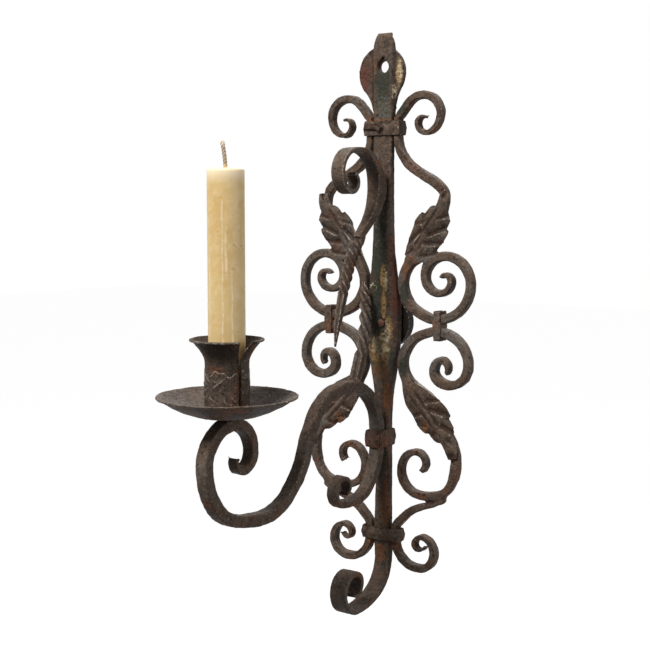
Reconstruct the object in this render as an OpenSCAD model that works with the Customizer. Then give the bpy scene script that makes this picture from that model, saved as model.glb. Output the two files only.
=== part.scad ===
// Wrought iron wall sconce: a forged back bar with scrolls and leaves, an arm, a drip pan and a candle.
// X runs along the wall, Y into the wall and Z up. The origin is the centre of the hanging hole.

/* [Back bar] */
// Width of the neck of the bar
neck_w = 19.5; // [16:0.5:24]
// Thickness of the neck of the bar
neck_t = 7; // [6:0.5:9]
// Radius of the round eye at the top
eye_r = 22.5; // [21:0.5:26]
// Thickness of the eye's ears
eye_t = 5; // [4:0.5:6]
// Distance of the eye's centre below the hanging hole
eye_drop = 5; // [1:0.5:7]
// Distance of the eye's centre to the left of the hanging hole
eye_side = 2.5; // [0:0.5:3]
// Height of the lip above the hanging hole
lip_h = 29; // [27:0.5:32]
// Width of the long swelling in the middle
swell_w = 32; // [26:0.5:34]
// Thickness of the swelling
swell_t = 10; // [8:0.5:10.5]
// Width of the bar below the swelling
stem_w = 14; // [12:0.5:17]
// Thickness of the bar below the swelling
stem_t = 11; // [9:0.5:12]
// Width of the ribbon that forms the foot
foot_w = 17; // [14:0.5:20]
// Thickness of the foot ribbon
foot_t = 6; // [5:0.25:7]
// Radius of the open roll at the foot
foot_roll_r = 18.5; // [17.5:0.5:20]

/* [Fixing to the wall] */
// Radius of the hanging hole
hole_r = 4.2; // [3:0.1:5]
// Radius of the hammered mouth of the hole
hole_mouth_r = 6; // [5.5:0.1:7]
// Radius of the round disc behind the bar
disc_r = 21.5; // [18:0.5:24]
// Thickness of the disc
disc_t = 8; // [6:0.5:12]
// Radius of the shank of the centre rivet
rivet_r = 3; // [2:0.1:3.5]
// Radius of the head of the centre rivet
rivet_head_r = 4; // [3.8:0.1:6]

/* [Heights below the hanging hole] */
// Depth of the middle of the top collar
top_collar_z = 50; // [46:0.5:54]
// Depth of the middle of the scroll clips and the centre rivet
clip_z = 211; // [205:0.5:217]
// Depth of the middle of the arm collar
arm_collar_z = 308; // [304:0.5:314]
// Depth of the middle of the bottom collar
foot_collar_z = 391; // [386:0.5:396]
// Depth of the centre of the foot roll
foot_roll_z = 428; // [424:0.5:436]

/* [Scrolls] */
// Width of the scroll stock, seen from the front
scroll_w = 9; // [7:0.25:10]
// Depth of the scroll stock
scroll_d = 9.5; // [8:0.25:10]
// Worn corner of the forged bars
worn_c = 1.3; // [0.6:0.1:2]
// Distance of the scroll clips from the middle
clip_x = 54; // [50:0.5:58]
// Width of a leaf
leaf_w = 34; // [28:0.5:36]
// Share of an upper leaf's width that lies on the bar's side of its midrib
upper_leaf_side = 0.46; // [0.4:0.02:0.6]
// Share of a lower leaf's width that lies on the outer side of its midrib
lower_leaf_side = 0.56; // [0.4:0.02:0.6]
// Thickness of a leaf
leaf_t = 3; // [2.5:0.25:3.5]
// Height of the midrib of a leaf
rib_h = 1.6; // [0.8:0.1:2.5]
// Height of the pillows between the veins
pillow_h = 2; // [0.5:0.1:2.4]
// Lobes along each side of a leaf
leaf_lobes = 4; // [3:1:5]
// Depth of the notches between the lobes
leaf_notch = 2.2; // [0.5:0.1:3]

/* [Collars] */
// Thickness of the strip that the collars are wrapped from
strip_t = 2.2; // [1.8:0.1:3]
// Height of the top collar
top_collar_h = 13.5; // [9:0.5:16]
// Height of the arm collar
arm_collar_h = 16; // [12:0.5:20]
// Height of the bottom collar
foot_collar_h = 13; // [11:0.5:16]
// Width of the scroll clips
clip_w = 9.5; // [6:0.5:11]
// Flare of a collar's hammered edges
flare_e = 0.6; // [0.2:0.1:1.4]
// Clearance between a collar and the bars that it holds
fit = 0.15; // [0.05:0.05:0.3]

/* [Arm] */
// Distance of the candle's axis from the front of the bar
reach = 199; // [190:1:215]
// Width of the arm, seen from the front
arm_w = 12; // [10:0.25:14]
// Thickness of the arm, seen from the side
arm_t = 11; // [9:0.25:12]
// Height of the top of the arch above the arm collar
arch_h = 54; // [50:0.5:57]
// Depth of the top of the front loop, under the pan
pan_seat_z = 263; // [258:0.5:268]
// Depth of the lowest point of the arm
arm_low_z = 350; // [346:0.5:354]

/* [Tendrils] */
// Width of the ribbon in the curl of the upper tendril
curl_w = 13; // [11:0.5:15]
// Thickness of the ribbon in the curl
curl_t = 4.5; // [3.5:0.25:6]
// Side of the square stock in the twists
twist_s = 7.5; // [6:0.25:8.5]
// Whole turn of the upper twist, in degrees
twist_turn = 450; // [270:30:600]
// Whole turn of the lower twist, in degrees
lower_turn = 540; // [360:30:720]
// Depth of the fixing of the upper tendril
tendril_z = 98; // [92:0.5:104]

/* [Pan and cup] */
// Radius of the rim of the drip pan
pan_r = 51.5; // [44:0.5:60]
// Height of the rim above the underside of the pan
pan_h = 15; // [11:0.5:20]
// Thickness of the sheet of the pan
pan_t = 2.2; // [1.5:0.1:3]
// Outer radius of the candle cup
cup_r = 17.5; // [16.5:0.25:20]
// Radius of the flared rim of the cup
cup_rim_r = 27.3; // [24:0.5:31]
// Height of the cup
cup_h = 54; // [46:0.5:60]
// Thickness of the sheet of the cup
cup_t = 2; // [1.5:0.1:2.5]
// Radius of the rolled rim of the pan
rim_r = 1.5; // [1.2:0.1:2]
// Width of the slit in the cup
slit_w = 1.6; // [1:0.1:3]
// Side that the slit faces, in degrees round from the front
slit_turn = 73; // [0:1:180]
// Radius of the shank of the cup rivet
cup_rivet_r = 3; // [2:0.1:3.5]

/* [Candle] */
// Radius of the candle
candle_r = 13.6; // [11:0.1:14.2]
// Length of the candle
candle_l = 170; // [60:1:220]
// Radius of the wick
wick_r = 1.4; // [1:0.1:1.8]
// Length of the wick above the candle
wick_l = 19; // [12:1:26]

/* [Hidden] */
$fn = 48;
iron = [0.20, 0.18, 0.17];
rust = [0.33, 0.22, 0.16];
sheet = [0.16, 0.14, 0.13];
black = [0.05, 0.05, 0.05];
wax = [0.86, 0.74, 0.50];
string_colour = [0.66, 0.58, 0.46];
// The front plane of the bar, which the scrolls lie flush with
face_y = -neck_t / 2;
// How far cuts run past a face
past = 1;

// A smooth curve through a list of numbers or points, for t from 0 to the last index
function smooth(p, t) =
    let (
        n = len(p) - 1,
        i = min(floor(t), n - 1),
        f = t - i,
        a = i > 0 ? p[i - 1] : 2 * p[0] - p[1],
        b = p[i],
        c = p[i + 1],
        d = i + 2 > n ? 2 * p[n] - p[n - 1] : p[i + 2]
    )
    b + f / 2 * ((c - a) + f * ((2 * a - 5 * b + 4 * c - d) + f * (3 * (b - c) + d - a)));
// A smooth curve through hand-set points, with a number of steps between neighbours
function curve(points, steps) =
    [for (k = [0 : steps * (len(points) - 1)]) smooth(points, k / steps)];
// A coil from angle start through turn degrees. Each entry of sizes is a quarter turn's radius,
// width and depth. The middle drifts as the coil closes.
function coil(middle, drift, start, turn, sizes, steps) =
    [for (k = [0 : steps]) let (
        share = k / steps,
        s = smooth(sizes, share * abs(turn) / 90),
        a = start + turn * share
    ) [middle[0] + drift[0] * share + s[0] * cos(a), middle[1] + drift[1] * share + s[0] * sin(a),
        s[1], s[2]]];
// A curve through hand-set points that runs on into a coil
function lead_in(points, coiled, steps) =
    let (all = concat(points, [coiled[0], coiled[3]]))
    concat([for (k = [0 : steps * len(points) - 1]) smooth(all, k / steps)], coiled);
// The direction of a path at one of its stations
function heading(st, i) =
    let (
        p = st[max(i - 1, 0)],
        q = st[min(i + 1, len(st) - 1)],
        d = [q[0] - p[0], q[1] - p[1], q[2] - p[2]]
    )
    d / norm(d);
// The outline of a forged bar of half sizes a and b with worn corners
function worn(a, b, c) =
    [[a, c - b], [a, b - c], [a - c, b], [c - a, b], [-a, b - c], [-a, c - b], [c - a, -b], [a - c, -b]];
// One cross-section, square to the path at a station [x, y, z, width, depth, turn]
function section(st, i, side, outline) =
    let (
        h = heading(st, i),
        u0 = cross(side, h),
        u = u0 / norm(u0),
        v = cross(h, u),
        o = [st[i][0], st[i][1], st[i][2]],
        c = cos(st[i][5]),
        s = sin(st[i][5])
    )
    [for (q = outline) o + (q[0] * c - q[1] * s) * u + (q[0] * s + q[1] * c) * v];
// The cross-sections of a bar whose width, depth and turn change from station to station
function bar_rings(st, side, corner) =
    [for (i = [0 : len(st) - 1]) let (
        a = st[i][3] / 2,
        b = st[i][4] / 2
    ) section(st, i, side, worn(a, b, min(corner, 0.4 * a, 0.4 * b)))];
// Stations drawn from the front as [x, z, width, depth], with their backs on the plane of the
// scrolls' backs, and their front faces on the front plane wherever the stock has its full depth
function flat(st) =
    [for (s = st) [s[0], face_y + scroll_d - s[3] / 2, s[1], s[2], s[3], 0]];
// Stations drawn from the side as [y, z, thickness, width], with y measured from the front plane,
// and where needed an x and a turn
function upright(st) =
    [for (s = st) [len(s) > 4 ? s[4] : 0, face_y + s[0], s[1], s[2], s[3], len(s) > 4 ? s[5] : 0]];
// A closed skin over a row of cross-sections
module skin(rings) {
    n = len(rings[0]);
    last = len(rings) - 1;
    sides = [for (i = [0 : last - 1]) for (j = [0 : n - 1]) for (half = [0, 1]) let (
        a = i * n + j,
        b = i * n + (j + 1) % n
    ) half == 0 ? [a, a + n, b + n] : [a, b + n, b]];
    start = [[for (j = [0 : n - 1]) j]];
    end = [[for (j = [0 : n - 1]) last * n + n - 1 - j]];
    polyhedron([for (r = rings) each r], concat(start, sides, end), convexity = 6);
}
// A bar drawn from the front
module flat_bar(st, corner = worn_c) {
    skin(bar_rings(flat(st), [0, 1, 0], corner));
}
// A bar drawn from the side
module side_bar(st, corner = worn_c) {
    skin(bar_rings(upright(st), [1, 0, 0], corner));
}
// A rivet head: the cap of a ball, standing on z = 0
module dome(r, h) {
    ball_r = (r * r + h * h) / (2 * h);
    intersection() {
        translate([0, 0, h - ball_r]) sphere(r = ball_r);
        cylinder(r = r, h = h);
    }
}
// The outline of a strip of thickness t round a bundle of half width a, from y0 to y1, with its
// corners knocked down
function wrap(a, y0, y1, t) =
    let (
        c = 0.8 * strip_t,
        x = a + t,
        f = y0 - t,
        g = y1 + t
    )
    [[-x, f + c], [c - x, f], [x - c, f], [x, f + c], [x, g - c], [x - c, g], [c - x, g], [-x, g - c]];
// A closed strip wrapped round a bundle, with its edges flared and uneven as the hammer left them
module wrapped(a, y0, y1, h) {
    levels = [[-0.5, 0.7], [-0.3, 0.1], [0.25, 0], [0.5, 1]];
    uneven = [0, -0.25, 0.3, 0, 0.2, -0.2, 0.1, -0.3];
    difference() {
        skin([for (l = levels) let (o = wrap(a, y0, y1, strip_t + flare_e * l[1]))
            [for (j = [0 : len(o) - 1]) [o[j][0], o[j][1], h * l[0] + flare_e * l[1] * uneven[j]]]]);
        translate([-a, y0, -h]) cube([2 * a, y1 - y0, 2 * h]);
    }
}
// The strip's pointed end, lapped over the front of its collar
module tongue(x0, x1, h, y, t) {
    point = 0.35 * h;
    translate([0, y, 0]) rotate([90, 0, 0]) linear_extrude(t)
        polygon([[x0, -h / 2], [x1 - point, -h / 2], [x1, -0.1 * h], [x1 - 0.4 * point, 0.3 * h],
            [x1 - 1.4 * point, h / 2], [x0, h / 2]]);
}

// The bar from the folded end of its lip, past the eye and the swelling, down to the foot
foot_roll = coil([-44, -foot_roll_z], [-2, 0], -90, -400, [
    [foot_roll_r, foot_t, foot_w],
    [foot_roll_r - 1.5, foot_t, foot_w],
    [foot_roll_r - 4.5, foot_t - 0.5, foot_w],
    [foot_roll_r - 10.5, foot_t - 1, foot_w - 1],
    [foot_roll_r - 13.5, foot_t - 2, foot_w - 2],
    [foot_roll_r - 14.5, foot_t - 3, foot_w - 3]
], 24);
bar_stations = lead_in([
    [neck_t, lip_h - 5, 2.5, neck_w - 7.5],
    [neck_t - 1.3, lip_h - 2.5, 4, neck_w - 6],
    [neck_t / 2, lip_h - 4.5, neck_t - 1.5, neck_w - 4],
    [neck_t / 2, lip_h - 13, neck_t, neck_w + 1.5],
    [neck_t / 2, -eye_drop, neck_t, neck_w],
    [neck_t / 2, -80, neck_t, neck_w],
    [neck_t / 2, -125, neck_t, neck_w],
    [swell_t / 2 - 1, -clip_z + 52, swell_t - 2, neck_w + 3],
    [swell_t / 2, -clip_z + 25, swell_t, swell_w - 2],
    [swell_t / 2, -clip_z, swell_t, swell_w],
    [swell_t / 2, -clip_z - 27, swell_t, swell_w - 3],
    [stem_t / 2, -clip_z - 65, stem_t, stem_w + 1],
    [stem_t / 2, -arm_collar_z, stem_t, stem_w],
    [stem_t / 2, -foot_collar_z + 40, stem_t, stem_w],
    [stem_t / 2 - 1, -foot_collar_z, stem_t - 2, foot_w],
    [5.5, -foot_roll_z + 14, foot_t, foot_w],
    [-2, -foot_roll_z - 3.5, foot_t, foot_w],
    [-19, -foot_roll_z - 14.5, foot_t, foot_w]
], foot_roll, 2);

// The forged back bar: lip, eye, neck, long swelling, stem and foot roll
module back_bar() {
    mouth = 2.5;
    color(iron) difference() {
        union() {
            side_bar(bar_stations, 2);
            translate([-eye_side, neck_t / 2, -eye_drop]) rotate([90, 0, 0]) cylinder(r = eye_r, h = eye_t);
        }
        rotate([90, 0, 0]) cylinder(r = hole_r, h = 2 * neck_t, center = true);
        translate([0, face_y + mouth, 0]) rotate([90, 0, 0]) {
            cylinder(r1 = hole_r, r2 = hole_mouth_r, h = mouth + past);
            linear_extrude(mouth + past) polygon([[-hole_r, 0], [hole_r, 0], [0, 1.4 * hole_mouth_r]]);
        }
        translate([0, face_y, -clip_z]) rotate([90, 0, 0])
            cylinder(r = rivet_r + fit, h = 4 * swell_t, center = true);
    }
}

// The back of the swelling, where the disc sits
disc_y = face_y + swell_t + fit;
// The plain round disc that holds the bar off the wall
module wall_disc() {
    color(black) translate([0, disc_y, -clip_z]) rotate([-90, 0, 0]) difference() {
        cylinder(r = disc_r, h = disc_t);
        translate([0, 0, -past]) cylinder(r = rivet_r + fit, h = disc_t + 2 * past);
    }
}

// The rivet through the bar and the disc, with its end hidden in the disc
module centre_rivet() {
    grip = swell_t + 0.8 * disc_t;
    color(rust) translate([0, face_y, -clip_z]) rotate([90, 0, 0]) {
        dome(rivet_head_r, 0.45 * rivet_head_r);
        translate([0, 0, -grip]) cylinder(r = rivet_r, h = grip);
    }
}

// The sweeps are drawn in to this width where the top collar holds them beside the neck
grip_w = scroll_w - 2;
sweep_x = neck_w / 2 + fit + grip_w / 2;
// How far each ring's middle line lies from the height of the clips
ring_gap = scroll_w / 2 + fit;
// How far a leaf's tip rises over the sweep that it laps over
tip_lift = 1.4;
// The depth left of a sweep under share s of a leaf's length
function scarf(s) = scroll_d - leaf_t + tip_lift * s * s - 2 * fit;

// The top curl of a sweep, and the sweep down to where the leaf's tip laps over it
top_curl = coil([41, -42], [-1, -4], 160, -430, [
    [22.5, scroll_w - 1, scroll_d],
    [17, scroll_w - 1, scroll_d],
    [11.5, scroll_w - 2.5, scroll_d],
    [10.3, scroll_w - 3.5, scroll_d],
    [6.8, scroll_w - 4.5, scroll_d],
    [2.5, scroll_w - 6, scroll_d - 1]
], 24);
upper_sweep_stations = concat(
    [for (k = [0 : len(top_curl) - 2]) top_curl[len(top_curl) - 1 - k]],
    curve([
        top_curl[0],
        [sweep_x + 1.5, -top_collar_z + 9.5, grip_w + 0.3, scroll_d],
        [sweep_x, -top_collar_z + 0.45 * top_collar_h, grip_w, scroll_d],
        [sweep_x, -top_collar_z - 0.55 * top_collar_h, grip_w, scroll_d],
        [sweep_x + 2, -top_collar_z - 18, scroll_w - 1, scroll_d],
        [23, -top_collar_z - 29, scroll_w, scroll_d],
        [33, -top_collar_z - 36, scroll_w, scroll_d],
        [46, -clip_z + 118, scroll_w, scroll_d],
        [54.5, -clip_z + 112, scroll_w, scroll_d],
        [58, -clip_z + 105, scroll_w, scarf(0.75)],
        [57.5, -clip_z + 96, scroll_w - 2, scarf(0.7)],
        [54.5, -clip_z + 87, scroll_w - 4, scarf(0.6)]
    ], 2)
);
module upper_sweep() {
    color(iron) flat_bar(upper_sweep_stations);
}
module upper_sweep_right() { upper_sweep(); }
module upper_sweep_left() { mirror([1, 0, 0]) upper_sweep(); }

// The outline of the scroll bar, with a point more in the middle of its front and its back
function ridged(a, b, c) =
    [[a, b - c], [a - c, b], [0, b], [c - a, b], [-a, b - c],
        [-a, c - b], [c - a, -b], [0, -b], [a - c, -b], [a, c - b]];
// Shares of a leaf's half width, and of its veins' forward lean, from its neck to its tip
leaf_outline = [0.34, 0.78, 1, 0.96, 0.76, 0.54, 0.38, 0.3];
leaf_lean = [0, 0.4, 0.8, 1, 1, 0.8, 0.4, 0];
// Steps between the stations of a leaf
leaf_steps = 2;
// The cross-section of a leaf with half width a, side share and pillow share p, in the order of
// ridged(). The first number runs across and the second into the wall, from the front plane.
function leaf_section(a, side, p) =
    let (
        u = 2 * side * a,
        d = 2 * (1 - side) * a,
        edge = 1.2 + 0.6 * (1 - p),
        body = pillow_h * (0.5 - p),
        foot = 0.35 * pillow_h
    )
    [[u, edge], [0.95 * u, leaf_t], [0, leaf_t], [-0.95 * d, leaf_t], [-d, edge],
        [-0.6 * d, body], [-0.14 * d, foot], [0, -rib_h], [0.14 * u, foot], [0.6 * u, body]];
// The stations of a leaf's midrib, from its tip to its neck, with heights from the clips
function midrib(points) =
    [for (k = [len(points) - 1 : -1 : 0]) [points[k][0], points[k][1] - clip_z, scroll_w, scroll_d]];
// The cross-sections of a leaf and of the bar that it is drawn out of, blended at the leaf's neck
function leaf_scroll_rings(path, leaf_points, side) =
    let (st = flat(path), leaf_end = leaf_steps * (leaf_points - 1))
    [for (i = [0 : len(st) - 1]) let (
        s = max(0, 1 - i / leaf_end),
        leaf_share = min(1, 5 * s),
        p = abs(sin(180 * s * leaf_lobes)),
        a = leaf_w / 2 * smooth(leaf_outline, 7 * s) - leaf_notch * (1 - p) * sin(180 * s),
        leaf = leaf_section(a, side, p),
        half_w = st[i][3] / 2,
        half_d = st[i][4] / 2,
        bar = ridged(half_w, half_d, min(worn_c, 0.4 * half_w, 0.4 * half_d)),
        lean = 0.9 * smooth(leaf_lean, 7 * s),
        h = heading(st, i),
        n = cross([0, 1, 0], h),
        front = [0, face_y - st[i][1] - tip_lift * s * s, 0]
    ) [for (j = [0 : len(bar) - 1]) let (
        on_leaf = leaf[j][0] * n + front + [0, leaf[j][1], 0] - lean * abs(leaf[j][0]) * h,
        on_bar = bar[j][0] * n + [0, bar[j][1], 0]
    ) [st[i][0], st[i][1], st[i][2]] + leaf_share * on_leaf + (1 - leaf_share) * on_bar]];

// The upper leaf scroll: its ring runs from the leaf's neck round to the inner curl
upper_ring = coil([clip_x, -clip_z + ring_gap + 32], [4.5, 0], -90, 600, [
    [32, scroll_w, scroll_d],
    [28, scroll_w - 1, scroll_d],
    [20, scroll_w, scroll_d],
    [15.5, scroll_w - 1, scroll_d],
    [10, scroll_w - 2, scroll_d],
    [7.5, scroll_w - 3, scroll_d],
    [5, scroll_w - 4, scroll_d - 1],
    [3.5, scroll_w - 5, scroll_d - 2]
], 34);
upper_midrib = [[22.5, 46], [28.5, 55], [34, 62], [39, 70], [44, 77], [49.5, 84.5], [55, 92],
    [58.5, 100.5], [59.5, 108.5]];
upper_leaf_path = lead_in(concat(midrib(upper_midrib), [
    [19, 36 - clip_z, scroll_w, scroll_d],
    [20.4, 25 - clip_z, scroll_w, scroll_d],
    [27.5, 14 - clip_z, scroll_w, scroll_d],
    [41, 7 - clip_z, scroll_w, scroll_d]
]), upper_ring, leaf_steps);
module upper_leaf_scroll() {
    color(iron) skin(leaf_scroll_rings(upper_leaf_path, len(upper_midrib), upper_leaf_side));
}
module upper_leaf_scroll_right() { upper_leaf_scroll(); }
module upper_leaf_scroll_left() { mirror([1, 0, 0]) upper_leaf_scroll(); }

// The lower leaf scroll
lower_ring = coil([clip_x, -clip_z - ring_gap - 28], [5, -4], 90, -510, [
    [28, scroll_w, scroll_d],
    [26.5, scroll_w - 1, scroll_d],
    [12.5, scroll_w, scroll_d],
    [7, scroll_w - 1, scroll_d],
    [7.5, scroll_w - 2, scroll_d],
    [4, scroll_w - 4, scroll_d - 1],
    [2.5, scroll_w - 5, scroll_d - 2]
], 28);
lower_midrib = [[21, -42], [27, -52], [33.5, -60.5], [40, -68], [47, -75.5], [54, -83], [61, -90.5],
    [66.5, -99.5], [69, -108.5]];
lower_leaf_path = lead_in(concat(midrib(lower_midrib), [
    [19, -33 - clip_z, scroll_w, scroll_d],
    [20.8, -24 - clip_z, scroll_w, scroll_d],
    [29, -12.5 - clip_z, scroll_w, scroll_d],
    [41, -7.2 - clip_z, scroll_w, scroll_d]
]), lower_ring, leaf_steps);
module lower_leaf_scroll() {
    color(iron) skin(leaf_scroll_rings(lower_leaf_path, len(lower_midrib), lower_leaf_side));
}
module lower_leaf_scroll_right() { lower_leaf_scroll(); }
module lower_leaf_scroll_left() { mirror([1, 0, 0]) lower_leaf_scroll(); }

// The lower sweep, from under the leaf's tip round into its own ring
ring_z = -clip_z - 122;
lower_sweep_stations = lead_in([
    [63, ring_z + 35.5, scroll_w - 4, scarf(0.6)],
    [67.5, ring_z + 26.5, scroll_w - 2, scarf(0.75)],
    [70, ring_z + 17, scroll_w, scarf(0.8)],
    [70.5, ring_z + 8, scroll_w, scroll_d],
    [68.5, ring_z - 3.5, scroll_w, scroll_d],
    [63, ring_z - 13.2, scroll_w, scroll_d],
    [56, ring_z - 18, scroll_w, scroll_d],
    [47, ring_z - 20.3, scroll_w - 0.5, scroll_d]
], coil([35, ring_z], [1, 2], -90, -305, [
    [20.5, scroll_w - 1, scroll_d],
    [17.3, scroll_w - 1.5, scroll_d],
    [14, scroll_w - 2, scroll_d],
    [4.5, scroll_w - 3, scroll_d],
    [4, scroll_w - 4, scroll_d - 1]
], 20), 2);
module lower_sweep() {
    color(iron) flat_bar(lower_sweep_stations);
}
module lower_sweep_right() { lower_sweep(); }
module lower_sweep_left() { mirror([1, 0, 0]) lower_sweep(); }

// The tail, from its weld under the ring, through the bottom collar and round its curl
tail_w = scroll_w - 1;
tail_x = foot_w / 2 + 3 * fit + tail_w / 2;
tail_stations = lead_in([
    [67.3, ring_z - 17.1, 1.5, scroll_d],
    [63.3, ring_z - 21.1, 2.8, scroll_d],
    [58.5, ring_z - 24, 3.6, scroll_d],
    [48, ring_z - 28, 5.4, scroll_d],
    [38.5, ring_z - 30.2, tail_w - 0.5, scroll_d],
    [27.5, ring_z - 35.5, tail_w, scroll_d],
    [19, -foot_collar_z + 14.5, tail_w, scroll_d],
    [tail_x + fit, -foot_collar_z + 8, tail_w, scroll_d],
    [tail_x, -foot_collar_z, tail_w, scroll_d],
    [tail_x + fit, -foot_collar_z - 7, tail_w, scroll_d],
    [tail_x + 3, -foot_collar_z - 15, tail_w, scroll_d],
    [tail_x + 12, -foot_collar_z - 23.5, tail_w, scroll_d]
], coil([tail_x + 26, -foot_collar_z - 11], [-1, 7], -100, 440, [
    [14.5, tail_w, scroll_d],
    [12, tail_w, scroll_d],
    [10.4, tail_w - 2, scroll_d],
    [6.4, tail_w - 3, scroll_d],
    [4.2, tail_w - 4, scroll_d - 1],
    [4.5, tail_w - 5, scroll_d - 2]
], 26), 2);
module tail_scroll() {
    color(iron) flat_bar(tail_stations);
}
module tail_scroll_right() { tail_scroll(); }
module tail_scroll_left() { mirror([1, 0, 0]) tail_scroll(); }

// A clip wrapped round the two rings where they meet
module scroll_clip() {
    color(rust) translate([clip_x, 0, -clip_z]) rotate([0, 90, 0])
        wrapped(scroll_w + 2 * fit + 0.9, face_y - fit, face_y + scroll_d + fit, clip_w);
}
module scroll_clip_right() { scroll_clip(); }
module scroll_clip_left() { mirror([1, 0, 0]) scroll_clip(); }

// The collar round the neck and the two sweeps
module top_collar() {
    a = sweep_x + grip_w / 2 + fit;
    y0 = face_y - fit;
    color(rust) translate([0, 0, -top_collar_z]) {
        wrapped(a, y0, face_y + scroll_d + fit, top_collar_h);
        tongue(-a, -3, 0.8 * top_collar_h, y0 - 0.8 * strip_t, 0.7 * strip_t);
    }
}
// The collar that binds the arm to the bar
module arm_collar() {
    a = max(stem_w, arm_w) / 2 + fit;
    y0 = face_y - arm_t - 5 * fit;
    color(rust) translate([0, 0, -arm_collar_z]) {
        wrapped(a, y0, face_y + stem_t + fit, arm_collar_h);
        tongue(-a, 2, 0.75 * arm_collar_h, y0 - 0.8 * strip_t, 0.7 * strip_t);
    }
}
// The collar round the bar and the two tails
module bottom_collar() {
    a = tail_x + tail_w / 2 + 5 * fit;
    y0 = face_y - fit;
    color(rust) translate([0, 0, -foot_collar_z]) {
        wrapped(a, y0, face_y + scroll_d + fit, foot_collar_h);
        tongue(-a, -4, 0.8 * foot_collar_h, y0 - 0.8 * strip_t, 0.7 * strip_t);
    }
}

// The arm, from its small roll up through the collar, over the arch and round the front loop
arm_y = -arm_t / 2 - 2 * fit;
arch_z = -arm_collar_z + arch_h - arm_t / 2;
low_z = -arm_low_z + arm_t / 2;
// The height from the arm's lowest stretch to its arch, between middle lines
drop = arch_z - low_z;
// The loop's middle lies a little behind the candle's axis, and its top carries the pan
loop_top_r = 24.7;
loop_back = 3.5;
loop_y = loop_back - reach;
loop_z = -pan_seat_z - loop_top_r - arm_t / 2 - fit;
small_roll = coil([-58.5, -arm_collar_z - 34], [1.5, 0], -75, -375, [
    [13, arm_t - 3.5, arm_w],
    [11.5, arm_t - 4.5, arm_w],
    [10, arm_t - 5, arm_w],
    [7, arm_t - 6, arm_w],
    [4, arm_t - 7, arm_w],
    [3, arm_t - 7.5, arm_w]
], 20);
arm_stations = concat(
    [for (k = [0 : len(small_roll) - 1]) small_roll[len(small_roll) - 1 - k]],
    curve([
        [-41, -arm_collar_z - 47.3, arm_t - 3, arm_w],
        [-26, -arm_collar_z - 42.5, arm_t - 2, arm_w],
        [-15, -arm_collar_z - 32, arm_t - 1, arm_w],
        [-8.5, -arm_collar_z - 19, arm_t - 0.5, arm_w],
        [arm_y - fit, -arm_collar_z - 0.55 * arm_collar_h, arm_t, arm_w],
        [arm_y, -arm_collar_z, arm_t, arm_w],
        [arm_y - fit, -arm_collar_z + 0.55 * arm_collar_h, arm_t, arm_w],
        [-9.5, arch_z - 25, arm_t - 1, arm_w],
        [-17.5, arch_z - 12.5, arm_t - 1, arm_w],
        [-29, arch_z - 4, arm_t - 0.5, arm_w],
        [-43, arch_z - 0.2, arm_t, arm_w],
        [-58, arch_z, arm_t, arm_w],
        [-74, arch_z - 0.03 * drop, arm_t, arm_w],
        [-88.5, arch_z - 0.13 * drop, arm_t, arm_w],
        [-98.5, arch_z - 0.28 * drop, arm_t, arm_w],
        [-105.5, arch_z - 0.45 * drop, arm_t, arm_w],
        [-112, arch_z - 0.63 * drop, arm_t, arm_w],
        [-121.5, low_z + 0.22 * drop, arm_t, arm_w],
        [-135.5, low_z + 0.08 * drop, arm_t, arm_w],
        [-154, low_z + 0.5, arm_t, arm_w],
        [-174, low_z + 1.2, arm_t, arm_w],
        [-193, low_z + 4.5, arm_t, arm_w],
        [-208.5, low_z + 12, arm_t, arm_w],
        [-219, loop_z - 25, arm_t, arm_w],
        [-223.5, loop_z - 12, arm_t, arm_w]
    ], 2),
    coil([loop_y + 2, loop_z], [7, -1], 180, -365, [
        [31, arm_t, arm_w],
        [loop_top_r, arm_t, arm_w],
        [17, arm_t - 1.5, arm_w],
        [9, arm_t - 3, arm_w - 1],
        [5, arm_t - 6, arm_w - 2]
    ], 26)
);
module arm() {
    color(iron) difference() {
        side_bar(arm_stations);
        translate([0, face_y - reach, -pan_seat_z - 1.6 * arm_t])
            cylinder(r = cup_rivet_r + fit, h = 1.6 * arm_t + past);
    }
}

// The upper tendril: a curl, a flat against the bar, a twisted length and a long point
tendril_curl = coil([-46, 11 - tendril_z], [-2, -5], 90, 325, [
    [18, curl_t, curl_w],
    [16, curl_t, curl_w],
    [12.7, curl_t, curl_w - 1],
    [6.7, curl_t - 0.5, curl_w - 2],
    [4.2, curl_t - 1.5, curl_w - 3]
], 20);
module upper_tendril() {
    color(iron) difference() {
        side_bar(concat(
            [for (k = [0 : len(tendril_curl) - 1]) let (c = tendril_curl[len(tendril_curl) - 1 - k])
                [c[0], c[1], c[2], c[3], 0, 0]],
            curve([
                [-33, 29.5 - tendril_z, curl_t + 0.5, curl_w, 0, 0],
                [-20.5, 24.5 - tendril_z, curl_t + 1.5, curl_w, 0, 0],
                [-11, 14.5 - tendril_z, curl_t + 4, curl_w, 0, 0],
                [-6.6, 1 - tendril_z, 13.2, curl_w, 0, 0],
                [-8.2, -9 - tendril_z, 12, curl_w - 0.5, 0, 0],
                [-13.5, -20 - tendril_z, 10, curl_w - 2, 0, 0],
                [-22, -30 - tendril_z, 8.5, twist_s + 1, 0, 0],
                [-32, -39 - tendril_z, twist_s, twist_s, 0, 0]
            ], 2),
            [for (k = [0 : 34]) let (
                s = k / 34,
                c = smooth([[-37, -44], [-43, -51], [-49, -60], [-54, -72], [-59, -85], [-63, -98],
                    [-67, -112], [-70, -128]], 7 * s),
                w = smooth([twist_s, twist_s, twist_s, twist_s, 6, 4.6, 3, 1], 7 * s)
            ) [c[0], c[1] - tendril_z, w, w, 0, -twist_turn * min(1, 2 * s)]]
        ), 0.9);
        translate([-curl_w, face_y - fit, -2 * tendril_z]) cube([2 * curl_w, neck_t, 2 * tendril_z]);
    }
}

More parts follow.
